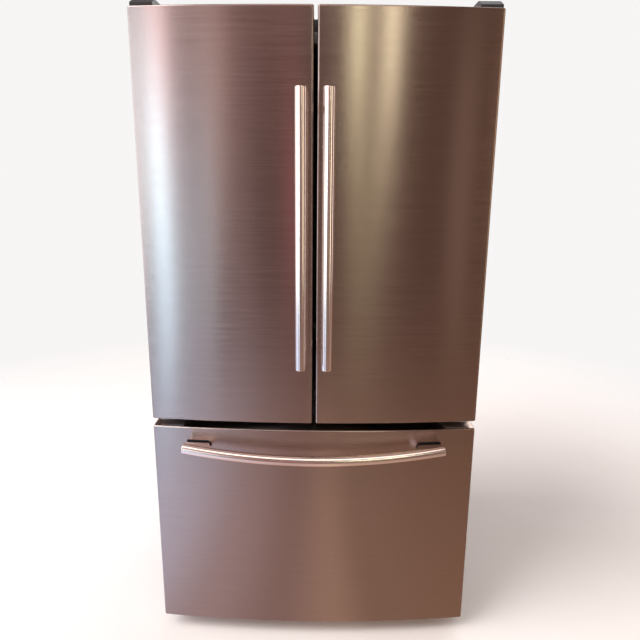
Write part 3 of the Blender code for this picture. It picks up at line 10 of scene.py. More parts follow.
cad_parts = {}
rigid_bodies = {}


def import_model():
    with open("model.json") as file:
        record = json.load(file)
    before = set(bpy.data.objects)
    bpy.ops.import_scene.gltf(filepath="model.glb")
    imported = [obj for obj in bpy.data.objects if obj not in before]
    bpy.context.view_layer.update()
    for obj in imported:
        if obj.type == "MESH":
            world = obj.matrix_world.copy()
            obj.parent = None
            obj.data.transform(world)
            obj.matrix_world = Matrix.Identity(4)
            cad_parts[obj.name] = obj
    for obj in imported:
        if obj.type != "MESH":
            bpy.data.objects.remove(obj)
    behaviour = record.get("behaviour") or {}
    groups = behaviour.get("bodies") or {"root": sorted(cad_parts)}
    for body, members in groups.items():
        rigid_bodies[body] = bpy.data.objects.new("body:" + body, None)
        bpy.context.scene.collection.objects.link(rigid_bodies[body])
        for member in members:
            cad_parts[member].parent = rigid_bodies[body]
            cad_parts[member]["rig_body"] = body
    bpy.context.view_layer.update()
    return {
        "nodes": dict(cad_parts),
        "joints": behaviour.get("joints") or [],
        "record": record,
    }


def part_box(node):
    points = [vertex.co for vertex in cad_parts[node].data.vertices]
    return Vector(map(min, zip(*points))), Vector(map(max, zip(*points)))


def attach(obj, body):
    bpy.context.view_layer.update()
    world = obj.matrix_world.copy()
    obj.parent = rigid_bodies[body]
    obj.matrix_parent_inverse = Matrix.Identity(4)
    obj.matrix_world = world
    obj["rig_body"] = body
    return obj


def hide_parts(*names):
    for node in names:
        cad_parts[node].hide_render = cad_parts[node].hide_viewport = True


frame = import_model()

# What the frame gives
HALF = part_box("cabinet_shell")[1].x
BACK_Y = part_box("back_panel")[1].y
SHELF_BACK_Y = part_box("upper_left_shelf")[1].y
DOOR_BACK_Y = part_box("freezer_door_skin")[1].y
FRONT_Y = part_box("freezer_door_skin")[0].y
JOINT_PLACE = {j["name"]: Vector(j["pos_m"]) for j in frame["joints"] if "pos_m" in j}
SIDES = (("left", -1), ("right", 1))

# Sizes that the frame's boxes don't give, as in the CAD source
DOOR_CROWN = 0.027
FACE_RADIUS = (HALF**2 + DOOR_CROWN**2) / (2 * DOOR_CROWN)
DOOR_EDGE_RADIUS = 0.005
SHEET = 0.0015
HANDLE_RADIUS = 0.0145
HINGE_BORE_RADIUS = 0.0064
HINGE_BORE_DEPTH = 0.020
TOUCH = 0.0003

# Fine shape that only the looks have
SKIN_ROLL = 0.0045  # rounded upper and lower edges of the door skins
BAR_RIM = 0.0012  # rounded rims of the handles' flat ends
BAR_FACETS = 40
ROUNDING_STEPS = 4
EDGE_ANGLE = math.radians(35)  # sharper edges than this are rounded
FLAT_ANGLE = math.radians(1)  # facets nearer than this to one plane are joined
SAME_POINT = 0.00001


def face_y(x):
    """Y of the doors' convex face."""
    return FRONT_Y + FACE_RADIUS - math.sqrt(FACE_RADIUS**2 - x * x)


def body_of(node):
    return frame["nodes"][node]["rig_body"]


def add_object(name, data):
    item = bpy.data.objects.new(name, data)
    bpy.context.scene.collection.objects.link(item)
    return item


def as_mesh(name, shape):
    """A bmesh as a mesh; the bmesh is freed."""
    mesh = bpy.data.meshes.new(name)
    shape.to_mesh(mesh)
    shape.free()
    return mesh


# Materials


def add_node(tree, kind, inputs=(), **settings):
    made = tree.nodes.new(kind)
    for name, value in settings.items():
        setattr(made, name, value)
    for name, value in dict(inputs).items():
        if isinstance(value, bpy.types.NodeSocket):
            tree.links.new(value, made.inputs[name])
        else:
            made.inputs[name].default_value = value
    return made


QUARTER_TURN = 0.25  # the shader counts anisotropic rotation in turns


class Finish:
    """One procedural material, patterned by object coordinates."""

    def __init__(self, name, roughness, metallic=0.0, **sockets):
        self.material = bpy.data.materials.new(name)
        self.material.use_nodes = True
        self.tree = self.material.node_tree
        self.shader = self.tree.nodes["Principled BSDF"]
        self.shader.inputs["Roughness"].default_value = roughness
        self.shader.inputs["Metallic"].default_value = metallic
        for socket, value in sockets.items():
            self.shader.inputs[socket.replace("_", " ")].default_value = value
        self.place = add_node(self.tree, "ShaderNodeTexCoord").outputs["Object"]
        self.normal = None

    def noise(self, scale, detail=3.0, stretch=(1, 1, 1), roughness=0.55):
        mapped = add_node(
            self.tree, "ShaderNodeMapping", {"Vector": self.place, "Scale": stretch}
        ).outputs["Vector"]
        sockets = {"Vector": mapped, "Scale": scale, "Detail": detail, "Roughness": roughness}
        return add_node(self.tree, "ShaderNodeTexNoise", sockets).outputs["Fac"]

    def cells(self, scale):
        sockets = {"Vector": self.place, "Scale": scale}
        return add_node(self.tree, "ShaderNodeTexVoronoi", sockets).outputs["Color"]

    def fade(self, axis, start, end):
        """0 at start and 1 at end along X, Y or Z."""
        parts = add_node(self.tree, "ShaderNodeSeparateXYZ", {"Vector": self.place})
        return self.spread(parts.outputs[axis], 0.0, 1.0, start, end)

    def spread(self, factor, low, high, start=0.3, end=0.7):
        sockets = {
            "Value": factor, "From Min": start, "From Max": end, "To Min": low, "To Max": high
        }
        return add_node(self.tree, "ShaderNodeMapRange", sockets).outputs["Result"]

    def mix(self, factor, first, second):
        made = add_node(self.tree, "ShaderNodeMix", data_type="RGBA", clamp_factor=True)
        factor_in, first_in, second_in = made.inputs[0], made.inputs[6], made.inputs[7]
        for socket, value in ((factor_in, factor), (first_in, first), (second_in, second)):
            if isinstance(value, bpy.types.NodeSocket):
                self.tree.links.new(value, socket)
            else:
                socket.default_value = (*value, 1)
        return made.outputs[2]

    def tones(self, factor, first, second, end=1):
        """The base colour, between two tones."""
        return self.colour(self.mix(self.spread(factor, 0, end), first, second))

    def colour(self, socket):
        self.tree.links.new(socket, self.shader.inputs["Base Color"])
        return self

    def roughen(self, factor, low, high):
        self.tree.links.new(self.spread(factor, low, high), self.shader.inputs["Roughness"])
        return self

    def bump(self, factor, distance, strength=1.0):
        sockets = {"Height": factor, "Distance": distance, "Strength": strength}
        if self.normal is not None:
            sockets["Normal"] = self.normal
        self.normal = add_node(self.tree, "ShaderNodeBump", sockets).outputs["Normal"]
        self.tree.links.new(self.normal, self.shader.inputs["Normal"])
        return self

    def grain_round(self, axis):
        """Brush marks round an axis, whose highlight is drawn out across them."""
        tangent = add_node(self.tree, "ShaderNodeTangent", direction_type="RADIAL", axis=axis)
        self.tree.links.new(tangent.outputs["Tangent"], self.shader.inputs["Tangent"])
        self.shader.inputs["Anisotropic Rotation"].default_value = QUARTER_TURN
        return self


def door_steel():
    """Stainless sheet with a fine horizontal brush grain, over a painted reflection that turns from
    pinkish grey at the left to warm brown at the right.
    """
    made = Finish("brushed_door_steel", 0.24, 1.0, Anisotropic=0.92)
    fine = made.noise(1.0, 3, (14, 14, 2100))
    coarse = made.noise(1.0, 2, (6, 6, 520))
    drift = made.noise(1.0, 1, (1.8, 1.8, 0.7))
    # Painted reflection: the base colour goes from pinkish grey at the left to warm brown at the
    # right, standing in for the room that the steel mirrors.
    warm = made.mix(made.fade("X", -HALF, HALF), (0.445, 0.385, 0.385), (0.43, 0.315, 0.25))
    streaked = made.mix(made.spread(fine, 0.0, 0.24), warm, (0.27, 0.205, 0.18))
    brushed = made.mix(made.spread(coarse, 0.0, 0.14), streaked, (0.66, 0.55, 0.48))
    made.tones(drift, brushed, (0.32, 0.225, 0.205), 0.16)
    made.roughen(coarse, 0.21, 0.26)
    made.bump(fine, 0.00003, 0.25)
    return made.grain_round("Z").material


def handle_steel(name, axis):
    """Satin tube, brushed round its girth."""
    made = Finish(name, 0.16, 1.0, Anisotropic=0.6)
    fine = made.noise(1.0, 3, tuple(900 if letter == axis else 14 for letter in "XYZ"))
    made.tones(fine, (0.97, 0.86, 0.81), (0.83, 0.71, 0.66), 0.3)
    made.roughen(fine, 0.13, 0.20)
    made.bump(fine, 0.00003, 0.25)
    return made.grain_round(axis).material


def case_paint():
    """Dark grey paint over finely pebbled sheet."""
    made = Finish("pebbled_case_paint", 0.42, 0.0, Coat_Weight=0.15, Coat_Roughness=0.3)
    pebble = made.noise(420, 2)
    cloud = made.noise(3, 2)
    base = made.mix(made.spread(cloud, 0, 1), (0.052, 0.052, 0.056), (0.066, 0.065, 0.068))
    made.tones(pebble, base, (0.085, 0.084, 0.088), 0.4)
    return made.roughen(pebble, 0.38, 0.50).bump(pebble, 0.0004, 0.6).material


def black_steel():
    made = Finish("black_enamelled_steel", 0.38, 0.0, Coat_Weight=0.25, Coat_Roughness=0.25)
    cloud = made.noise(60, 3)
    made.tones(cloud, (0.012, 0.012, 0.013), (0.026, 0.025, 0.026))
    return made.roughen(cloud, 0.30, 0.46).bump(cloud, 0.0001, 0.4).material


def mount_black():
    """Dull black coating of the freezer handle's mounts."""
    made = Finish("dull_black_coating", 0.6, 0.0, Specular_IOR_Level=0.10)
    cloud = made.noise(80, 3)
    made.tones(cloud, (0.006, 0.006, 0.007), (0.013, 0.012, 0.013))
    return made.roughen(cloud, 0.55, 0.70).bump(cloud, 0.0001, 0.3).material


def zinc_steel():
    """Galvanised sheet with faint spangle."""
    made = Finish("galvanised_steel", 0.42, 0.55)
    spangle = made.cells(90)
    scuffs = made.noise(30, 4, (1, 1, 0.15))
    base = made.mix(made.spread(spangle, 0, 1, 0, 1), (0.50, 0.51, 0.52), (0.62, 0.63, 0.64))
    made.tones(scuffs, base, (0.40, 0.405, 0.41), 0.4)
    return made.roughen(scuffs, 0.30, 0.46).bump(scuffs, 0.0001, 0.3).material


def bright_zinc():
    """Smooth plated steel of the hinges and screws."""
    made = Finish("plated_steel", 0.4, 0.35)
    scuffs = made.noise(120, 3)
    made.tones(scuffs, (0.74, 0.76, 0.79), (0.84, 0.86, 0.88))
    return made.roughen(scuffs, 0.34, 0.46).material


def white_plastic():
    """Thermoformed liner with a light satin texture."""
    made = Finish("liner_white_plastic", 0.36, 0.0, Specular_IOR_Level=0.45)
    skin = made.noise(650, 2)
    cloud = made.noise(4, 2)
    made.tones(cloud, (0.80, 0.815, 0.83), (0.86, 0.865, 0.87))
    return made.roughen(skin, 0.30, 0.42).bump(skin, 0.0001, 0.25).material


def see_through(name, tint, edge, alpha_face, alpha_edge, roughness):
    """Clear plastic or glass: thin where it faces the eye, denser at a slant."""
    made = Finish(name, roughness, 0.0, Specular_IOR_Level=0.6)
    cloud = made.noise(6, 2)
    made.tones(cloud, tint, edge)
    slant = add_node(made.tree, "ShaderNodeLayerWeight", {"Blend": 0.35}).outputs["Facing"]
    made.tree.links.new(
        made.spread(slant, alpha_face, alpha_edge, 0.0, 1.0), made.shader.inputs["Alpha"]
    )
    return made.material


def dark_plastic():
    made = Finish("textured_black_plastic", 0.45)
    skin = made.noise(520, 2)
    cloud = made.noise(12, 2)
    made.tones(cloud, (0.020, 0.020, 0.022), (0.034, 0.033, 0.035))
    return made.roughen(skin, 0.38, 0.55).bump(skin, 0.0002, 0.4).material


def grey_rubber():
    made = Finish("gasket_rubber", 0.65, 0.0, Sheen_Weight=0.15, Sheen_Roughness=0.5)
    dust = made.noise(40, 4)
    made.tones(dust, (0.105, 0.105, 0.11), (0.16, 0.158, 0.16))
    return made.roughen(dust, 0.55, 0.75).bump(made.noise(300, 2), 0.0001, 0.3).material


def foam():
    made = Finish("polyurethane_foam", 0.9)
    cell = made.noise(260, 4)
    made.tones(cell, (0.62, 0.48, 0.22), (0.80, 0.68, 0.40))
    return made.bump(cell, 0.0008, 0.8).material


def copper():
    made = Finish("copper_tube", 0.28, 1.0)
    tarnish = made.noise(35, 4)
    made.tones(tarnish, (0.80, 0.42, 0.27), (0.42, 0.22, 0.15))
    return made.roughen(tarnish, 0.22, 0.45).material


def lamp_lens():
    made = Finish("frosted_lens", 0.5)
    dots = made.noise(400, 1)
    made.tones(dots, (0.86, 0.88, 0.90), (0.93, 0.94, 0.95))
    return made.bump(dots, 0.0002, 0.4).material


FINISHES = {
    "door_steel": door_steel(),
    "handle_steel": handle_steel("satin_handle_steel", "Z"),
    "case_paint": case_paint(),
    "black_steel": black_steel(),
    "zinc_steel": zinc_steel(),
    "white_plastic": white_plastic(),
    "clear_plastic": see_through(
        "clear_bin_plastic", (0.72, 0.80, 0.86), (0.80, 0.86, 0.90), 0.22, 0.85, 0.10
    ),
    "dark_plastic": dark_plastic(),
    "grey_rubber": grey_rubber(),
    "shelf_glass": see_through(
        "tempered_glass", (0.60, 0.80, 0.74), (0.68, 0.84, 0.80), 0.16, 0.9, 0.04
    ),
    "foam": foam(),
    "copper_tube": copper(),
}
BAR_STEEL = handle_steel("satin_bar_steel", "X")
PLATED = bright_zinc()
MOUNT_COATING = mount_black()
LENS = lamp_lens()
SLOT_OF = {row["node"]: row["material_slot"] for row in frame["record"]["subparts"]}


# Shapes


def piece(name, shape, body, slot, material=None, replaces=()):
    """A finished bmesh as a piece that rides on a body."""
    return piece_from_mesh(name, as_mesh(name, shape), body, slot, material, replaces)


def piece_from_mesh(name, mesh, body, slot, material=None, replaces=(), sharp=35):
    mesh.shade_smooth()
    mesh.set_sharp_from_angle(angle=math.radians(sharp))
    mesh.materials.clear()
    mesh.materials.append(material or FINISHES[slot])
    item = add_object(name, mesh)
    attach(item, body)
    if replaces:
        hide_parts(*replaces)
    return item


def round_edges(item, width, segments=2):
    bevel = item.modifiers.new("rounded_edges", "BEVEL")
    bevel.width = width
    bevel.segments = segments
    bevel.limit_method = "ANGLE"
    bevel.angle_limit = EDGE_ANGLE
    bevel.use_clamp_overlap = True
    keep_flats_flat(item)
    return item


def keep_flats_flat(item):
    weighted = item.modifiers.new("flat_faces", "WEIGHTED_NORMAL")
    weighted.keep_sharp = True


def add_block(shape, low, high):
    low, high = Vector(low), Vector(high)
    size = high - low
    place = Matrix.Translation((low + high) / 2) @ Matrix.Diagonal((*size, 1))
    bmesh.ops.create_cube(shape, size=1, matrix=place)


def add_rod(shape, start, end, radius, sides=24, end_radius=None):
    start, end = Vector(start), Vector(end)
    turn = (end - start).to_track_quat("Z", "Y").to_matrix().to_4x4()
    bmesh.ops.create_cone(
        shape,
        cap_ends=True,
        segments=sides,
        radius1=radius,
        radius2=radius if end_radius is None else end_radius,
        depth=(end - start).length,
        matrix=Matrix.Translation((start + end) / 2) @ turn,
    )


def add_loft(shape, rings):
    """Skins closed rings of points, in order, and caps both ends."""
    rows = [[shape.verts.new(point) for point in ring] for ring in rings]
    for row, after in zip(rows, rows[1:]):
        for i in range(len(row)):
            j = (i + 1) % len(row)
            shape.faces.new((row[i], row[j], after[j], after[i]))
    shape.faces.new(list(reversed(rows[0])))
    shape.faces.new(rows[-1])
    bmesh.ops.recalc_face_normals(shape, faces=shape.faces)


def arc(centre, radius, start, end, steps):
    """Points from the start angle to the end angle, in degrees."""
    points = []
    for step in range(steps + 1):
        angle = math.radians(start + (end - start) * step / steps)
        across, up = radius * math.cos(angle), radius * math.sin(angle)
        points.append((centre[0] + across, centre[1] + up))
    return points


def rectangle(low, high, radius=0.0, steps=5):
    if not radius:
        return [(low[0], low[1]), (high[0], low[1]), (high[0], high[1]), (low[0], high[1])]
    left, right = low[0] + radius, high[0] - radius
    bottom, top = low[1] + radius, high[1] - radius
    outline = arc((left, bottom), radius, 180, 270, steps)
    outline += arc((right, bottom), radius, 270, 360, steps)
    outline += arc((right, top), radius, 0, 90, steps)
    return outline + arc((left, top), radius, 90, 180, steps)


PLANE_TURNS = {
    "plan": Euler((0, 0, 0)),
    "front": Euler((math.pi / 2, 0, 0)),
    "side": Euler((math.pi / 2, 0, math.pi / 2)),
}
PLANE_NORMALS = {"plan": Vector((0, 0, 1)), "front": Vector((0, 1, 0)), "side": Vector((1, 0, 0))}


def join_facets(shape):
    """Joins points in one place and the triangles of flat faces."""
    bmesh.ops.remove_doubles(shape, verts=shape.verts, dist=SAME_POINT)
    bmesh.ops.dissolve_limit(shape, angle_limit=FLAT_ANGLE, verts=shape.verts, edges=shape.edges)


def evaluated_mesh(item):
    """A new mesh of an object with its modifiers or its curve settings applied."""
    bpy.context.view_layer.update()
    seen = item.evaluated_get(bpy.context.evaluated_depsgraph_get())
    return bpy.data.meshes.new_from_object(seen)


def pulled(outlines, plane, start, end):
    """The mesh of flat outlines pulled from start to end; an inner outline is a hole."""
    start, end = sorted((start, end))
    curve = bpy.data.curves.new("outline", "CURVE")
    curve.dimensions = "2D"
    curve.fill_mode = "BOTH"
    curve.extrude = (end - start) / 2
    for outline in outlines:
        spline = curve.splines.new("POLY")
        spline.points.add(len(outline) - 1)
        for point, (across, up) in zip(spline.points, outline):
            point.co = (across, up, 0, 1)
        spline.use_cyclic_u = True
    guide = add_object("outline", curve)
    mesh = evaluated_mesh(guide)
    bpy.data.objects.remove(guide, do_unlink=True)
    place = Matrix.Translation(PLANE_NORMALS[plane] * (start + end) / 2)
    mesh.transform(place @ PLANE_TURNS[plane].to_matrix().to_4x4())
    shape = bmesh.new()
    shape.from_mesh(mesh)
    join_facets(shape)
    bmesh.ops.recalc_face_normals(shape, faces=shape.faces)
    shape.to_mesh(mesh)
    shape.free()
    return mesh


def joined(*sources):
    """One bmesh from several meshes or bmeshes."""
    shape = bmesh.new()
    for source in sources:
        if isinstance(source, bmesh.types.BMesh):
            source = as_mesh("part", source)
        shape.from_mesh(source)
        bpy.data.meshes.remove(source)
    return shape


def merged(first, operation, *others):
    """The mesh of a Boolean between bmesh or mesh shapes."""
    items = []
    for source in (first, *others):
        if isinstance(source, bmesh.types.BMesh):
            source = as_mesh("shape", source)
        items.append(add_object("shape", source))
    for tool in items[1:]:
        modifier = items[0].modifiers.new("merge", "BOOLEAN")
        modifier.operation = operation
        modifier.object = tool
    mesh = evaluated_mesh(items[0])
    for item in items:
        bpy.data.objects.remove(item, do_unlink=True)
    return mesh


def refined(node, width, segments, material):
    """A copy of a CAD node with its triangles joined up and its edges rounded."""
    shape = bmesh.new()
    shape.from_mesh(frame["nodes"][node].data)
    join_facets(shape)
    item = piece(node + "_finished", shape, body_of(node), SLOT_OF[node], material, (node,))
    round_edges(item, width, segments)


def add_screw(shape, place, outward, radius):
    """A pan-head screw with a washer, standing on a face."""
    place, outward = Vector(place), Vector(outward)
    add_rod(shape, place, place + outward * 0.0012, radius * 1.25, 20)
    add_rod(shape, place + outward * 0.0010, place + outward * 0.0034, radius, 16, radius * 0.7)


# Doors


def skin_outline(left, right, inset, steps):
    """A door's front from above, open at the back: sides, rounded corners and convex face."""
    radius = DOOR_EDGE_RADIUS - inset
    first, last = left + DOOR_EDGE_RADIUS, right - DOOR_EDGE_RADIUS
    points = [(left + inset, DOOR_BACK_Y)]
    points += arc((first, face_y(first) + DOOR_EDGE_RADIUS), radius, 180, 270, 6)
    for step in range(1, steps):
        x = first + (last - first) * step / steps
        points.append((x, face_y(x) + inset))
    points += arc((last, face_y(last) + DOOR_EDGE_RADIUS), radius, 270, 360, 6)
    points.append((right - inset, DOOR_BACK_Y))
    return points


def make_skin(node, steps, pin_places=()):
    """The folded sheet of a door, with rolled edges and holes for the hinge pins."""
    low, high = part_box(node)
    rings = []
    for end, way in ((low.z, 1), (high.z, -1)):
        rolled = []
        for step in range(ROUNDING_STEPS + 1):
            turn = math.radians(90 * step / ROUNDING_STEPS)
            inset = SKIN_ROLL * (1 - math.sin(turn))
            height = end + way * SKIN_ROLL * (1 - math.cos(turn))
            rolled.append([(x, y, height) for x, y in skin_outline(low.x, high.x, inset, steps)])
        rings += rolled if way == 1 else list(reversed(rolled))
    shape = bmesh.new()
    add_loft(shape, rings)
    back = [f for f in shape.faces if all(abs(v.co.y - DOOR_BACK_Y) < SAME_POINT for v in f.verts)]
    bmesh.ops.delete(shape, geom=back, context="FACES")
    item = add_object("skin", as_mesh(node, shape))
    wall = item.modifiers.new("sheet", "SOLIDIFY")
    wall.thickness = SHEET
    wall.offset = -1
    wall.use_even_offset = True
    shell = evaluated_mesh(item)
    bpy.data.objects.remove(item, do_unlink=True)
    if pin_places:
        bores = bmesh.new()
        for x, y in pin_places:
            for z, way in ((low.z, 1), (high.z, -1)):
                start, end = z - way * 0.01, z + way * HINGE_BORE_DEPTH
                add_rod(bores, (x, y, start), (x, y, end), HINGE_BORE_RADIUS)
        shell = merged(shell, "DIFFERENCE", bores)
    name = node.replace("_skin", "_steel")
    item = piece_from_mesh(name, shell, body_of(node), "door_steel", None, (node,), 40)
    keep_flats_flat(item)


def ring_at(centre, across, up, radius):
    points = []
    for side in range(BAR_FACETS):
        angle = 2 * math.pi * side / BAR_FACETS
        points.append(centre + across * radius * math.cos(angle) + up * radius * math.sin(angle))
    return points


def add_bar(shape, path, radius, up):
    """A round bar along a path, cut flat at its ends with a small rounded rim."""
    path = [Vector(place) for place in path]
    rings = []
    for end, following in ((path[0], path[1]), (path[-1], path[-2])):
        inward = (following - end).normalized()
        across = inward.cross(up).normalized()
        side_up = across.cross(inward).normalized()
        turned = []
        for step in range(ROUNDING_STEPS + 1):
            turn = math.radians(90 * step / ROUNDING_STEPS)
            centre = end + inward * BAR_RIM * (1 - math.cos(turn))
            turned.append((centre, across, side_up, radius - BAR_RIM * (1 - math.sin(turn))))
        rings.append(turned)
    middle = []
    for before, place, after in zip(path, path[1:], path[2:]):
        inward = (after - before).normalized()
        across = inward.cross(up).normalized()
        middle.append((place, across, across.cross(inward).normalized(), radius))
    last = [(c, -a, u, r) for c, a, u, r in reversed(rings[1])]
    add_loft(shape, [ring_at(*ring) for ring in rings[0] + middle + last])


def make_door_handle(side):
    """A straight tube on two turned posts."""
    node = side + "_door_handle"
    low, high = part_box(node)
    x = (low.x + high.x) / 2
    y = low.y + HANDLE_RADIUS
    bar = bmesh.new()
    path = [(x, y, z) for z in (low.z, (low.z + high.z) / 2, high.z)]
    add_bar(bar, path, HANDLE_RADIUS, Vector((0, 1, 0)))
    post_inset, post_radius, foot_radius = 0.045, 0.008, 0.0115
    posts = bmesh.new()
    surface = face_y(abs(x)) - TOUCH * 2
    for z in (low.z + post_inset, high.z - post_inset):
        add_rod(posts, (x, y, z), (x, surface - 0.003, z), post_radius, 32)
    feet = bmesh.new()
    for z in (low.z + post_inset, high.z - post_inset):
        add_rod(feet, (x, surface - 0.009, z), (x, surface, z), post_radius, 32, foot_radius)
    mesh = merged(bar, "UNION", posts, feet)
    name, body = side + "_handle_tube", side + "_door"
    item = piece_from_mesh(name, mesh, body, "handle_steel", None, (node,), 50)
    keep_flats_flat(item)


for side, sign in SIDES:
    pin = JOINT_PLACE[side + "_door_hinge"]
    make_skin(side + "_door_skin", 44, [(pin.x, pin.y)])
    make_door_handle(side)
make_skin("freezer_door_skin", 72)


# Freezer handle

# The bar's ends are 3.5 mm higher than the CAD model's and its mounts' tops 7.5 mm lower, as in
# the photo.

BAR_END_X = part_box("freezer_handle")[1].x
BAR_PIVOT = JOINT_PLACE["freezer_handle_hinge"]
BAR_HALF_LENGTH = 0.360
BAR_DROOP = 0.0255
BAR_END_RISE = 0.0035
BAR_END_STANDOFF = 0.046
BAR_MIDDLE_STANDOFF = 0.050
MOUNT_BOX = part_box("right_handle_mount")
ARM_ABOVE, ARM_BELOW = 0.0048, 0.0105  # round the pivot
ARM_GAP = 0.0055  # from the arm's foot to the door
ARM_FOOT_INSET = 0.005
ARM_SWEEP = 0.022
PLATE_ABOVE, PLATE_BELOW = 0.0085, 0.016
EAR_HALF_WIDTH = 0.006
EAR_FROM_BAR_END = 0.036
SLOT_PLAY = 0.001
SLOT_CEILING = 0.0038  # above the pivot
PIN_HALF_LENGTH, PIN_RADIUS = 0.018, 0.003
PLATE_INNER_RADIUS, PLATE_OUTER_RADIUS = 0.013, 0.003


def bar_centre(t):
    """The bar's centre line, for t from -1 to 1 across it."""
    x = t * BAR_HALF_LENGTH
    standoff = BAR_MIDDLE_STANDOFF + (BAR_END_STANDOFF - BAR_MIDDLE_STANDOFF) * t * t
    return x, face_y(x) - standoff, BAR_PIVOT.z + BAR_END_RISE - BAR_DROOP * (1 - t * t)


def make_freezer_handle():
    steps = 64
    bar = bmesh.new()
    path = [bar_centre(2 * step / steps - 1) for step in range(steps + 1)]
    add_bar(bar, path, HANDLE_RADIUS, Vector((0, 0, 1)))
    arms, slots = [], bmesh.new()
    outer, inner = MOUNT_BOX[1].x, MOUNT_BOX[0].x
    foot = inner + ARM_FOOT_INSET
    for _, sign in SIDES:
        tip = face_y(outer) - BAR_END_STANDOFF
        outline = [(sign * (outer - 0.0005), tip)]
        outline += [(sign * (outer - 0.0005), face_y(outer) - ARM_GAP)]
        outline += [(sign * foot, face_y(foot) - ARM_GAP)]
        for step in range(1, 9):
            share = step / 8
            x = foot - ARM_SWEEP * share**2.0
            y = face_y(x) - ARM_GAP - (BAR_END_STANDOFF - ARM_GAP - 0.004) * share
            outline.append((sign * x, y))
        low, high = BAR_PIVOT.z - ARM_BELOW, BAR_PIVOT.z + ARM_ABOVE
        arms.append(pulled([outline], "plan", low, high))
        ear = BAR_END_X - EAR_FROM_BAR_END
        slot_inner = ear - EAR_HALF_WIDTH - SLOT_PLAY
        slot_outer = ear + EAR_HALF_WIDTH + SLOT_PLAY
        near, far = sorted((sign * slot_inner, sign * slot_outer))
        ceiling = BAR_PIVOT.z + SLOT_CEILING
        add_block(slots, (near, BAR_PIVOT.y - 0.0095, 0.5), (far, BAR_PIVOT.y + 0.03, ceiling))
    mesh = merged(merged(bar, "UNION", *arms), "DIFFERENCE", slots)
    name, body = "freezer_handle_bar", "freezer_handle"
    item = piece_from_mesh(name, mesh, body, "handle_steel", BAR_STEEL, ("freezer_handle",), 40)
    keep_flats_flat(item)


def make_mount(side, sign):
    """The dark base plate of an arm, which follows the door's face, with its ear and pin."""
    node = side + "_handle_mount"
    low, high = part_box(node)
    plate = bmesh.new()
    inner, outer = sorted((abs(low.x), abs(high.x)))
    bottom, top = BAR_PIVOT.z - PLATE_BELOW, BAR_PIVOT.z + PLATE_ABOVE
    wide, small = PLATE_INNER_RADIUS, PLATE_OUTER_RADIUS
    outline = arc((inner + wide, bottom + wide), wide, 180, 270, 8)
    outline += arc((outer - small, bottom + small), small, 270, 360, 4)
    outline += arc((outer - small, top - small), small, 0, 90, 4)
    outline += arc((inner + wide, top - wide), wide, 90, 180, 8)
    middle_x, middle_z = (inner + outer) / 2, BAR_PIVOT.z
    rings = []
    for inset, lift in ((0, TOUCH * 2), (0, 0.0022), (0.0008, 0.003)):
        ring = []
        for x, z in outline:
            x -= math.copysign(inset, x - middle_x)
            z -= math.copysign(inset, z - middle_z)
            ring.append((sign * x, face_y(x) - lift, z))
        rings.append(ring)
    add_loft(plate, rings)
    ear_x = sign * (BAR_END_X - EAR_FROM_BAR_END)
    reach = 0.0034
    profile = arc((BAR_PIVOT.y, BAR_PIVOT.z), reach, 60, 270, 14)
    root = face_y(ear_x) - 0.001
    profile += [(root, BAR_PIVOT.z - 0.009), (root, BAR_PIVOT.z)]
    ear = pulled([profile], "side", ear_x - EAR_HALF_WIDTH, ear_x + EAR_HALF_WIDTH)
    pin = bmesh.new()
    y, z = BAR_PIVOT.y, BAR_PIVOT.z
    start, end = (ear_x - PIN_HALF_LENGTH, y, z), (ear_x + PIN_HALF_LENGTH, y, z)
    add_rod(pin, start, end, PIN_RADIUS)
    shape = joined(plate, ear, pin)  # not a Boolean, which drops the right plate
    piece(side + "_mount_plate", shape, "freezer_drawer", "black_steel", MOUNT_COATING, (node,))


make_freezer_handle()
for side, sign in SIDES:
    make_mount(side, sign)


# Carried-over nodes, with their facets joined and their edges rounded


def both(name):
    return "left_" + name, "right_" + name


LEFT_BINS = ("dairy_bin", "left_middle_bin", "left_lower_bin")
RIGHT_BINS = ("right_upper_bin", "right_middle_bin", "right_lower_bin")
# Width of the rounding, its segments, and the nodes that get it
REFINED = (
    (0.0007, 3, ("cabinet_shell",)),
    (0.0003, 1, ("back_panel", "machine_cover")),
    (0.0008, 2, ("kick_plate",)),
    (0.0006, 2, ("base_pan",)),
    (0.0008, 2, ("fridge_liner", "freezer_liner")),
    (0.0022, 3, (*both("door_liner"), "freezer_door_liner")),
    (0.0008, 2, both("top_hinge")),
    (0.0009, 3, both("hinge_cover")),
    (0.0006, 2, both("middle_hinge")),
    (0.0004, 1, ("upper_left_shelf", "lower_left_shelf", "upper_right_shelf", "lower_right_shelf")),
    (0.0006, 2, ("crisper_cover", "ceiling_light")),
    (0.0015, 2, ("ice_maker",)),
    (0.0003, 1, both("slide_outer")),
    (0.0005, 1, both("slide_middle")),
    (0.0006, 2, ("drawer_frame",)),
    (0.0012, 2, ("compressor",)),
    (0.0008, 2, ("fan_motor",)),
    (0.0010, 2, ("mullion",)),
    (0.0006, 2, ("dairy_lid", *both("crisper"), *LEFT_BINS, *RIGHT_BINS)),
    (0.0006, 2, ("freezer_basket", "upper_freezer_drawer")),
    (0.0004, 1, ("condenser_fan",)),
    (0.0015, 3, both("roller")),
    (0.0010, 2, both("leg")),
)
PLATED_NODES = both("top_hinge") + both("middle_hinge")
for width, segments, nodes in REFINED:
    for node in nodes:
        refined(node, width, segments, PLATED if node in PLATED_NODES else None)


# Details that the CAD model leaves out


def blocks(name, body, slot, ranges, edge):
    """Rounded blocks, each given by its lowest and highest corner, as one piece."""
    shape = bmesh.new()
    for low, high in ranges:
        add_block(shape, low, high)
    round_edges(piece(name, shape, body, slot), edge)


def ring_mesh(low, high, width, plane, start, end, radius, inner_radius):
    """A flat rectangular frame, pulled from start to end."""
    inside_low = (low[0] + width, low[1] + width)
    inside_high = (high[0] - width, high[1] - width)
    inside = rectangle(inside_low, inside_high, inner_radius)
    return pulled([rectangle(low, high, radius), inside], plane, start, end)


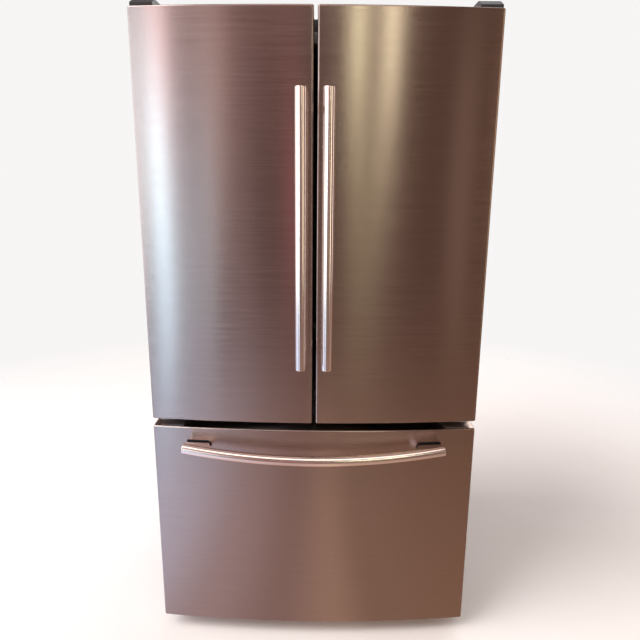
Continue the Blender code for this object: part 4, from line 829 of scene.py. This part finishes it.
def make_shelf_trims():
    """Moulded strips on the front and rear edges of the glass."""
    glass = 0.006
    nodes = [f"{level}_{side}_shelf" for level in ("upper", "lower") for side, _ in SIDES]
    for node in nodes:
        low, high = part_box(node)
        top = high.z
        ranges = [
            ((low.x, low.y - 0.002, top - glass - 0.003), (high.x, low.y + 0.011, top + 0.0015)),
            ((low.x, high.y - 0.012, top - glass - 0.001), (high.x, high.y, top + 0.003)),
        ]
        blocks(node + "_trim", "cabinet", "white_plastic", ranges, 0.0014)
    low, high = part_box("crisper_cover")
    front = ((low.x, low.y - 0.002, high.z - 0.013), (high.x, low.y + 0.012, high.z + 0.0015))
    blocks("crisper_cover_trim", "cabinet", "white_plastic", [front], 0.0014)


def make_shelf_rails():
    """Slotted uprights that the shelves' brackets hook into."""
    bottom, top, width, pitch = 0.945, 1.645, 0.014, 0.025
    inset = 0.030
    for node in ("upper_left_shelf", "upper_right_shelf"):
        low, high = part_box(node)
        for end, x in (("near", low.x + inset), ("far", high.x - inset)):
            outlines = [rectangle((x - width / 2, bottom), (x + width / 2, top), 0.002)]
            for count in range(int((top - bottom) / pitch) - 1):
                z = bottom + pitch * (count + 0.8)
                outlines.append(rectangle((x - 0.0025, z), (x + 0.0025, z + 0.013)))
            rail = pulled(outlines, "front", SHELF_BACK_Y - 0.0018, SHELF_BACK_Y + 0.0002)
            name = f"{node.split('_')[1]}_{end}_rail"
            piece_from_mesh(name, rail, "cabinet", "zinc_steel")


def vented_panel(name, low, high, slots, thickness):
    """A cover on the rear wall with rounded slots, each given by its centre and half width."""
    half_height = 0.0035
    outlines = [rectangle(low, high, 0.012)]
    for x, z, half in slots:
        first, last = (x - half, z - half_height), (x + half, z + half_height)
        outlines.append(rectangle(first, last, half_height * 0.9))
    mesh = pulled(outlines, "front", SHELF_BACK_Y - thickness, SHELF_BACK_Y)
    round_edges(piece_from_mesh(name, mesh, "cabinet", "white_plastic"), 0.0012)


def make_air_covers():
    slots = [(x, z, 0.045) for x in (-0.1, 0.1) for z in (1.47, 1.49, 1.58, 1.60)]
    vented_panel("fridge_air_cover", (-0.19, 1.425), (0.19, 1.645), slots, 0.013)
    slots = [(x, z, 0.06) for x in (-0.17, 0, 0.17) for z in (0.225, 0.243, 0.535, 0.553)]
    vented_panel("freezer_air_cover", (-0.29, 0.195), (0.29, 0.585), slots, 0.012)


def make_lens():
    low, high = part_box("ceiling_light")
    border = 0.012
    first, last = (low.x + border, low.y + border), (high.x - border, high.y - border)
    outline = rectangle(first, last, border)
    mesh = pulled([outline], "plan", low.z - 0.0026, low.z + 0.0004)
    round_edges(piece_from_mesh("ceiling_lens", mesh, "cabinet", "white_plastic", LENS), 0.0012, 3)


def make_bin_details():
    """Thick rims and pressed lines on the door bins, and the dairy lid's finger lip."""
    for node in LEFT_BINS + RIGHT_BINS:
        low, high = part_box(node)
        rim = ring_mesh(
            (low.x + 0.0002, low.y + 0.0002), (high.x - 0.0002, high.y + 0.0015), 0.0052,
            "plan", high.z - 0.0045, high.z + 0.0008, 0.012, 0.009,
        )
        lines = bmesh.new()
        for share in (0.30, 0.45, 0.60):
            z = low.z + (high.z - low.z) * share
            start = (low.x + 0.022, high.y - 0.0006, z)
            add_block(lines, start, (high.x - 0.022, high.y + 0.0011, z + 0.0022))
        item = piece(node + "_rim", joined(rim, lines), body_of(node), "clear_plastic")
        round_edges(item, 0.0005)
    low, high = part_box("dairy_lid")
    lip = ((-0.245, high.y - 0.0005, low.z + 0.002), (-0.165, high.y + 0.005, low.z + 0.0055))
    blocks("dairy_lid_lip", "dairy_lid", "clear_plastic", [lip], 0.0012)


def make_drawer_details():
    """Grips, rims and pressed lines on the sliding drawers inside."""
    for side, _ in SIDES:
        node = side + "_crisper"
        low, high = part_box(node)
        middle, half, top = (low.x + high.x) / 2, 0.11, high.z - 0.0195
        near, rear = low.y - 0.011, low.y + 0.0005
        ranges = [
            ((middle - half, near, high.z - 0.024), (middle + half, rear, top)),
            ((middle - half, near, high.z - 0.034), (middle + half, low.y - 0.0085, top)),
        ]
        for share in (0.25, 0.33, 0.41):
            z = low.z + (high.z - low.z) * share
            ranges.append(((low.x + 0.035, low.y - 0.0013, z), (high.x - 0.035, rear, z + 0.0024)))
        blocks(node + "_grip", node, "clear_plastic", ranges, 0.0008)
    low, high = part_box("freezer_basket")
    half = high.x - 0.015
    rim = ring_mesh(
        (-half - 0.0015, low.y - 0.0015), (half + 0.0015, high.y + 0.0015), 0.0065,
        "plan", high.z - 0.006, high.z + 0.001, 0.014, 0.011,
    )
    divider = bmesh.new()
    near, rear = low.y + 0.0028, high.y - 0.0028
    add_block(divider, (-0.0015, near, low.z + 0.0028), (0.0015, rear, high.z - 0.03))
    add_block(divider, (-0.004, near, high.z - 0.034), (0.004, rear, high.z - 0.028))
    for count in range(7):
        x = -0.30 + 0.1 * count
        start = (x - 0.0012, low.y - 0.0012, low.z + 0.03)
        add_block(divider, start, (x + 0.0012, low.y + 0.0005, high.z - 0.02))
    item = piece("freezer_basket_rim", joined(rim, divider), "freezer_drawer", "clear_plastic")
    round_edges(item, 0.0007)
    low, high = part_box("upper_freezer_drawer")
    ranges = [((-0.14, low.y - 0.012, high.z - 0.006), (0.14, low.y + 0.0005, high.z - 0.001))]
    ranges.append(((-0.14, low.y - 0.012, high.z - 0.018), (0.14, low.y - 0.0092, high.z - 0.001)))
    blocks("upper_drawer_grip", "upper_freezer_drawer", "clear_plastic", ranges, 0.0009)


GASKET_WIDTH = 0.014


def make_gasket(node):
    """A folded seal: a base, a narrow waist and a head with two sealing beads."""
    low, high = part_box(node)
    depth = high.y - low.y
    # Inset and width of each layer, and where it starts and ends through the depth
    layers = (
        (0.0, GASKET_WIDTH, 0.0, 0.22),
        (0.003, GASKET_WIDTH - 0.006, 0.2, 0.5),
        (0.0, GASKET_WIDTH, 0.48, 0.82),
        (0.0008, 0.005, 0.8, 1.0),
        (GASKET_WIDTH - 0.0058, 0.005, 0.8, 1.0),
    )
    rings = []
    for inset, width, near, far in layers:
        first, last = (low.x + inset, low.z + inset), (high.x - inset, high.z - inset)
        start, end = low.y + depth * near, low.y + depth * far
        rings.append(ring_mesh(first, last, width, "front", start, end, 0, 0))
    item = piece(node + "_folds", joined(*rings), body_of(node), "grey_rubber", None, (node,))
    round_edges(item, 0.0007)


def make_mullion_details():
    """A plastic strip on the bar's back, and its guide knob."""
    low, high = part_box("mullion")
    start = (low.x - 0.0012, low.y + 0.006, low.z + 0.012)
    end = (low.x + 0.0003, high.y - 0.006, high.z - 0.012)
    blocks("mullion_back", "mullion", "dark_plastic", [(start, end)], 0.0006)
    knob = bmesh.new()
    x, y = (low.x + high.x) / 2, high.y - 0.018
    add_rod(knob, (x, y, high.z - 0.001), (x, y, high.z + 0.010), 0.006, 32)
    round_edges(piece("mullion_guide", knob, "mullion", "dark_plastic"), 0.0012)


def make_screws():
    """Screws of the hinge covers and the back."""
    shape = bmesh.new()
    places = [(x, 0.32 + 0.23 * count) for x in (-0.441, 0.441) for count in range(7)]
    places += [(x, z) for z in (0.283, 1.728) for x in (-0.27, -0.09, 0.09, 0.27)]
    places += [(x, z) for x in (-0.435, -0.15, 0.15, 0.435) for z in (0.043, 0.258)]
    for x, z in places:
        add_screw(shape, (x, BACK_Y, z), (0, 1, 0), 0.0042)
    piece("back_screws", shape, "cabinet", "zinc_steel", PLATED)
    for side, _ in SIDES:
        low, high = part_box(side + "_hinge_cover")
        caps = bmesh.new()
        add_screw(caps, ((low.x + high.x) / 2, high.y - 0.014, high.z), (0, 0, 1), 0.0046)
        piece(side + "_cover_screw", caps, "cabinet", "dark_plastic", FINISHES["black_steel"])


def make_back_relief():
    """Pressed beads on the back, the cord's gland and the water inlet."""
    back = BACK_Y
    outer_bead = ring_mesh(
        (-0.405, 0.33), (0.405, 1.69), 0.010, "front", back - 0.0003, back + 0.0014, 0.03, 0.022
    )
    beads = bmesh.new()
    for x in (-0.2, 0.0, 0.2):
        add_block(beads, (x - 0.005, back - 0.0003, 0.42), (x + 0.005, back + 0.0014, 1.60))
    item = piece("back_beads", joined(outer_bead, beads), "cabinet", "zinc_steel")
    round_edges(item, 0.0009)
    gland = bmesh.new()
    add_block(gland, (-0.382, back - 0.0005, 0.282), (-0.338, back + 0.006, 0.312))
    add_rod(gland, (-0.360, back + 0.005, 0.297), (-0.360, back + 0.013, 0.297), 0.009, 32, 0.0065)
    round_edges(piece("cord_gland", gland, "cabinet", "dark_plastic"), 0.0012)
    inlet = bmesh.new()
    x, z = 0.3525, 0.1975
    add_block(inlet, (0.330, back - 0.0005, 0.175), (0.375, back + 0.007, 0.220))
    add_rod(inlet, (x, back + 0.006, z), (x, back + 0.0125, z), 0.0095, 6)
    round_edges(piece("water_inlet", inlet, "cabinet", "white_plastic"), 0.0010)
    nipple = bmesh.new()
    add_rod(nipple, (x, back + 0.0122, z), (x, back + 0.0146, z), 0.0055)
    piece("water_nipple", nipple, "cabinet", "copper_tube")


def make_kick_louvres():
    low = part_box("kick_plate")[0]
    ranges = []
    for count in range(5):
        z = low.z + 0.012 + 0.010 * count
        ranges.append(((-0.31, low.y - 0.0018, z), (0.31, low.y + 0.0004, z + 0.0045)))
    blocks("kick_louvres", "cabinet", "dark_plastic", ranges, 0.0009)


def make_foot_details():
    """The legs' nuts and the rollers' moulded bosses."""
    for side, _ in SIDES:
        low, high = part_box(side + "_leg")
        x, y = (low.x + high.x) / 2, (low.y + high.y) / 2
        nut = bmesh.new()
        add_rod(nut, (x, y, 0.0102), (x, y, 0.0165), 0.0125, 6)
        round_edges(piece(side + "_leg_nut", nut, side + "_leg", "black_steel", PLATED), 0.0008)
        low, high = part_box(side + "_roller")
        y, z = (low.y + high.y) / 2, (low.z + high.z) / 2
        hub = bmesh.new()
        for count in range(5):
            turn = 2 * math.pi * count / 5
            centre = Vector((0, y + 0.0105 * math.cos(turn), z + 0.0105 * math.sin(turn)))
            first, last = centre.copy(), centre.copy()
            first.x, last.x = low.x - 0.0006, high.x + 0.0006
            add_rod(hub, first, last, 0.0024, 16)
        piece(side + "_roller_bosses", hub, side + "_roller", "grey_rubber", FINISHES["dark_plastic"])


def make_ice_details():
    """The wire that feels how full the ice bin is, and raised lines on the ice maker."""
    low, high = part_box("ice_maker")
    x = high.x + 0.004
    path = [(high.x - 0.002, 0.09, 0.600), (x, 0.092, 0.598), (x, 0.095, 0.570)]
    path += [(x, 0.265, 0.570), (x, 0.268, 0.598), (high.x - 0.002, 0.27, 0.600)]
    arm = bmesh.new()
    for start, end in zip(path, path[1:]):
        add_rod(arm, start, end, 0.0014, 12)
    for place in path[1:-1]:
        corner = Matrix.Translation(place)
        bmesh.ops.create_icosphere(arm, subdivisions=2, radius=0.0014, matrix=corner)
    piece("ice_arm", arm, "cabinet", "zinc_steel", PLATED)
    lines = []
    for count in range(6):
        z = low.z + 0.012 + 0.008 * count
        lines.append(((low.x + 0.03, low.y - 0.0012, z), (high.x - 0.03, low.y + 0.0004, z + 0.003)))
    blocks("ice_maker_lines", "cabinet", "white_plastic", lines, 0.0006)


make_shelf_trims()
make_shelf_rails()
make_air_covers()
make_lens()
make_bin_details()
make_drawer_details()
for door in ("left", "right", "freezer"):
    make_gasket(door + "_door_gasket")
make_mullion_details()
make_screws()
make_back_relief()
make_kick_louvres()
make_foot_details()
make_ice_details()

# CAD nodes that no piece replaces show their own meshes
for name, item in frame["nodes"].items():
    if not item.hide_render:
        item.data.materials.clear()
        item.data.materials.append(FINISHES[SLOT_OF[name]])


# Studio

# The camera was fitted to the photo's door and drawer edges; angles are in radians.
CAMERA_PLACE = Vector((0.0231, -1.9618, 1.3829))
CAMERA_PITCH = 0.24707
CAMERA_YAW = 0.005085
CAMERA_ROLL = 0.00762
FRAME_PIXELS = 640
FOCAL_PIXELS = 611.97
SENSOR = 36.0


def make_camera():
    camera = bpy.data.cameras.new("camera")
    camera.sensor_width = SENSOR
    camera.lens = FOCAL_PIXELS / FRAME_PIXELS * SENSOR
    camera.clip_start, camera.clip_end = 0.05, 60
    item = add_object("camera", camera)
    item.matrix_world = (
        Matrix.Translation(CAMERA_PLACE)
        @ Matrix.Rotation(CAMERA_YAW, 4, "Z")
        @ Matrix.Rotation(math.pi / 2 - CAMERA_PITCH, 4, "X")
        @ Matrix.Rotation(CAMERA_ROLL, 4, "Z")
    )
    bpy.context.scene.camera = item


def unseen_by(item, *rays):
    for ray in rays:
        setattr(item, "visible_" + ray, False)


def shown_mesh(name, shape, material):
    mesh = as_mesh(name, shape)
    mesh.materials.append(material)
    item = add_object(name, mesh)
    return item


FLOOR_REACH = 6.0
FLOOR_FADE = (1.7, 3.2)  # where the floor starts and ends melting into the backdrop


def make_floor():
    made = Finish("pale_floor", 0.7)
    cloud = made.noise(2.0, 3)
    made.tones(cloud, (0.86, 0.835, 0.82), (0.88, 0.86, 0.85))
    far = add_node(made.tree, "ShaderNodeVectorMath", {0: made.place}, operation="LENGTH")
    alpha = made.spread(far.outputs["Value"], 1.0, 0.0, *FLOOR_FADE)
    made.tree.links.new(alpha, made.shader.inputs["Alpha"])
    shape = bmesh.new()
    bmesh.ops.create_circle(shape, cap_ends=True, segments=96, radius=FLOOR_REACH)
    unseen_by(shown_mesh("floor", shape, made.material), "glossy")


def emission(name, colour):
    """An emitting material, its tree and its two ends."""
    material = bpy.data.materials.new(name)
    material.use_nodes = True
    tree = material.node_tree
    tree.nodes.clear()
    glow = add_node(tree, "ShaderNodeEmission", {"Color": (*colour, 1), "Strength": 1.0})
    out = add_node(tree, "ShaderNodeOutputMaterial", {"Surface": glow.outputs[0]})
    return material, tree, glow, out


def make_backdrop():
    """A pale dome that only shows behind the object: it neither lights it nor shows in its steel."""
    shape = bmesh.new()
    bmesh.ops.create_uvsphere(shape, u_segments=64, v_segments=32, radius=28)
    material = emission("pale_backdrop", (0.93, 0.915, 0.91))[0]
    unseen_by(shown_mesh("backdrop", shape, material), "diffuse", "glossy", "transmission", "shadow")


CARD_FADE = (-1.4, -3.4)  # Y over which the card fades out
CARD_TONES = (
    (0.0, (0.80, 0.92, 1.22)),
    (0.24, (0.86, 0.82, 0.98)),
    (0.36, (0.66, 0.50, 0.50)),
    (0.455, (0.50, 0.345, 0.32)),
    (0.525, (0.66, 0.46, 0.37)),
    (0.58, (0.47, 0.315, 0.25)),
    (1.0, (0.35, 0.225, 0.17)),
)


def make_reflector():
    """A card on the floor before the doors that only shows in reflections.

    It is cool at the left and warm at the right, as the photo's steel is.
    """
    material, tree, glow, out = emission("reflector_card", (1, 1, 1))
    place = add_node(tree, "ShaderNodeTexCoord").outputs["Object"]
    parts = add_node(tree, "ShaderNodeSeparateXYZ", {"Vector": place})
    across = add_node(
        tree, "ShaderNodeMapRange", {"Value": parts.outputs["X"], "From Min": -1.3, "From Max": 1.3}
    )
    ramp = add_node(tree, "ShaderNodeValToRGB", {"Fac": across.outputs["Result"]})
    ramp.color_ramp.interpolation = "EASE"
    stops = ramp.color_ramp.elements
    while len(stops) < len(CARD_TONES):
        stops.new(0.5)
    for stop, (position, tone) in zip(stops, CARD_TONES):
        stop.position, stop.color = position, (*tone, 1)
    tree.links.new(ramp.outputs["Color"], glow.inputs["Color"])
    shown = add_node(
        tree,
        "ShaderNodeMapRange",
        {"Value": parts.outputs["Y"], "From Min": CARD_FADE[1], "From Max": CARD_FADE[0]},
    )
    clear = add_node(tree, "ShaderNodeBsdfTransparent")
    faded = add_node(
        tree,
        "ShaderNodeMixShader",
        {"Fac": shown.outputs["Result"], 1: clear.outputs[0], 2: glow.outputs[0]},
    )
    tree.links.new(faded.outputs[0], out.inputs["Surface"])
    shape = bmesh.new()
    corners = [(-5, -5, 0.002), (5, -5, 0.002), (5, 0.2, 0.002), (-5, 0.2, 0.002)]
    shape.faces.new([shape.verts.new(corner) for corner in corners])
    card = shown_mesh("reflector_card", shape, material)
    unseen_by(card, "camera", "diffuse", "transmission", "shadow")


def make_world():
    world = bpy.data.worlds.new("studio")
    world.use_nodes = True
    background = world.node_tree.nodes["Background"]
    background.inputs["Color"].default_value = (0.17, 0.105, 0.092, 1)
    background.inputs["Strength"].default_value = 1.0
    bpy.context.scene.world = world


def add_light(name, kind, place, target, power, colour, **settings):
    light = bpy.data.lights.new(name, kind)
    light.energy = power
    light.color = colour
    for key, value in settings.items():
        setattr(light, key, value)
    item = add_object(name, light)
    item.location = place
    item.rotation_euler = (Vector(target) - Vector(place)).to_track_quat("-Z", "Y").to_euler()
    item.visible_camera = False


def add_panel(name, place, target, width, height, radiance, colour):
    """A soft rectangular light given by how bright it looks."""
    power = radiance * width * height * math.pi
    size = {"shape": "RECTANGLE", "size": width, "size_y": height}
    add_light(name, "AREA", place, target, power, colour, **size)


STRIP_DISTANCE = 3.5


def add_strip(name, x, width, low, high, radiance, colour):
    """A tall soft panel placed to show at X on the doors' faces."""
    point = Vector((x, face_y(x)))
    normal = Vector((x / FACE_RADIUS, -math.sqrt(1 - (x / FACE_RADIUS) ** 2)))
    sight = (point - CAMERA_PLACE.xy).normalized()
    spot = point + (sight - 2 * sight.dot(normal) * normal) * STRIP_DISTANCE
    middle = (low + high) / 2
    add_panel(name, (*spot, middle), (0, FRONT_Y, middle), width, high - low, radiance, colour)


def add_sun(name, place, power, colour, angle):
    add_light(name, "SUN", place, (0, 0, 0.6), power, colour, angle=math.radians(angle))


# Name, X on the doors, width, low and high Z, radiance and colour
STRIPS = (
    ("window_strip", -0.400, 0.20, 0.9, 1.95, 5.6, (0.66, 0.93, 1.0)),
    ("window_foot", -0.398, 0.20, -0.3, 0.9, 3.4, (0.50, 0.82, 1.0)),
    ("window_head", -0.388, 0.24, 1.9, 3.0, 3.0, (1.0, 0.72, 0.72)),
    ("window_glow", -0.33, 0.72, -0.2, 1.85, 0.82, (0.66, 0.86, 1.0)),
    ("rose_band", -0.25, 0.28, 0.7, 2.4, 0.50, (1.0, 0.92, 0.88)),
    ("rose_veil", -0.19, 0.32, 0.0, 2.4, 0.16, (1.0, 0.74, 0.74)),
    ("rose_wall", -0.29, 0.8, 1.8, 3.2, 0.42, (1.0, 0.56, 0.50)),
    ("maroon_wall", -0.13, 0.9, 2.0, 3.2, 0.10, (1.0, 0.25, 0.20)),
    ("rose_spot", -0.055, 0.15, 0.6, 1.75, 0.70, (1.0, 0.26, 0.36)),
    ("lamp_strip", 0.102, 0.17, 2.0, 3.2, 4.4, (0.94, 1.0, 0.70)),
    ("lamp_middle", 0.104, 0.15, 0.9, 2.0, 0.52, (0.94, 1.0, 0.64)),
    ("lamp_tail", 0.104, 0.2, -0.2, 0.9, 0.20, (0.96, 1.0, 0.60)),
    ("wall_strip", 0.184, 0.17, 2.0, 3.2, 5.0, (0.96, 1.0, 0.76)),
    ("wall_middle", 0.160, 0.18, 1.2, 2.0, 0.95, (0.96, 1.0, 0.70)),
    ("wall_tail", 0.140, 0.2, 0.3, 1.2, 0.36, (0.96, 1.0, 0.68)),
    ("far_strip", 0.372, 0.25, 0.1, 2.4, 0.24, (1.0, 0.86, 0.72)),
)
# Name, place, target, width, height, radiance and colour
PANELS = (
    ("left_window", (-2.9, -2.4, 1.5), (0, -0.3, 1.1), 2.6, 2.4, 2.0, (0.90, 0.97, 1.0)),
    ("left_bounce", (-3.3, 1.4, 1.6), (0, 0, 1.1), 2.4, 2.4, 1.4, (0.95, 0.97, 1.0)),
    ("left_side", (-3.6, -0.5, 1.5), (0, -0.3, 1.1), 1.7, 2.4, 1.9, (0.93, 0.97, 1.0)),
    ("warm_side", (2.55, -2.9, 1.6), (0, -0.3, 1.1), 0.9, 2.4, 1.6, (1.0, 0.86, 0.66)),
    ("right_bounce", (3.4, 0.4, 1.6), (0, 0, 1.1), 2.2, 2.4, 0.9, (1.0, 0.94, 0.86)),
    ("back_bounce", (0.6, 3.9, 2.0), (0, 0, 1.0), 3.4, 2.6, 1.3, (1.0, 0.98, 0.96)),
    ("overhead", (-0.3, -2.0, 3.9), (0, -0.3, 0.6), 2.6, 1.8, 1.6, (1.0, 0.90, 0.84)),
)


def make_lights():
    """Suns and panels for the whole, and strips for what the photo's steel mirrors."""
    add_sun("key_sun", (-3.2, -1.4, 4.4), 2.3, (1.0, 0.96, 0.94), 40)
    add_sun("back_fill", (1.5, 3.5, 3.5), 1.0, (0.95, 0.97, 1.0), 60)
    for row in STRIPS:
        add_strip(*row)
    for row in PANELS:
        add_panel(*row)


make_camera()
make_floor()
make_backdrop()
make_reflector()
make_world()
make_lights()
bpy.context.scene.view_settings.view_transform = "Standard"
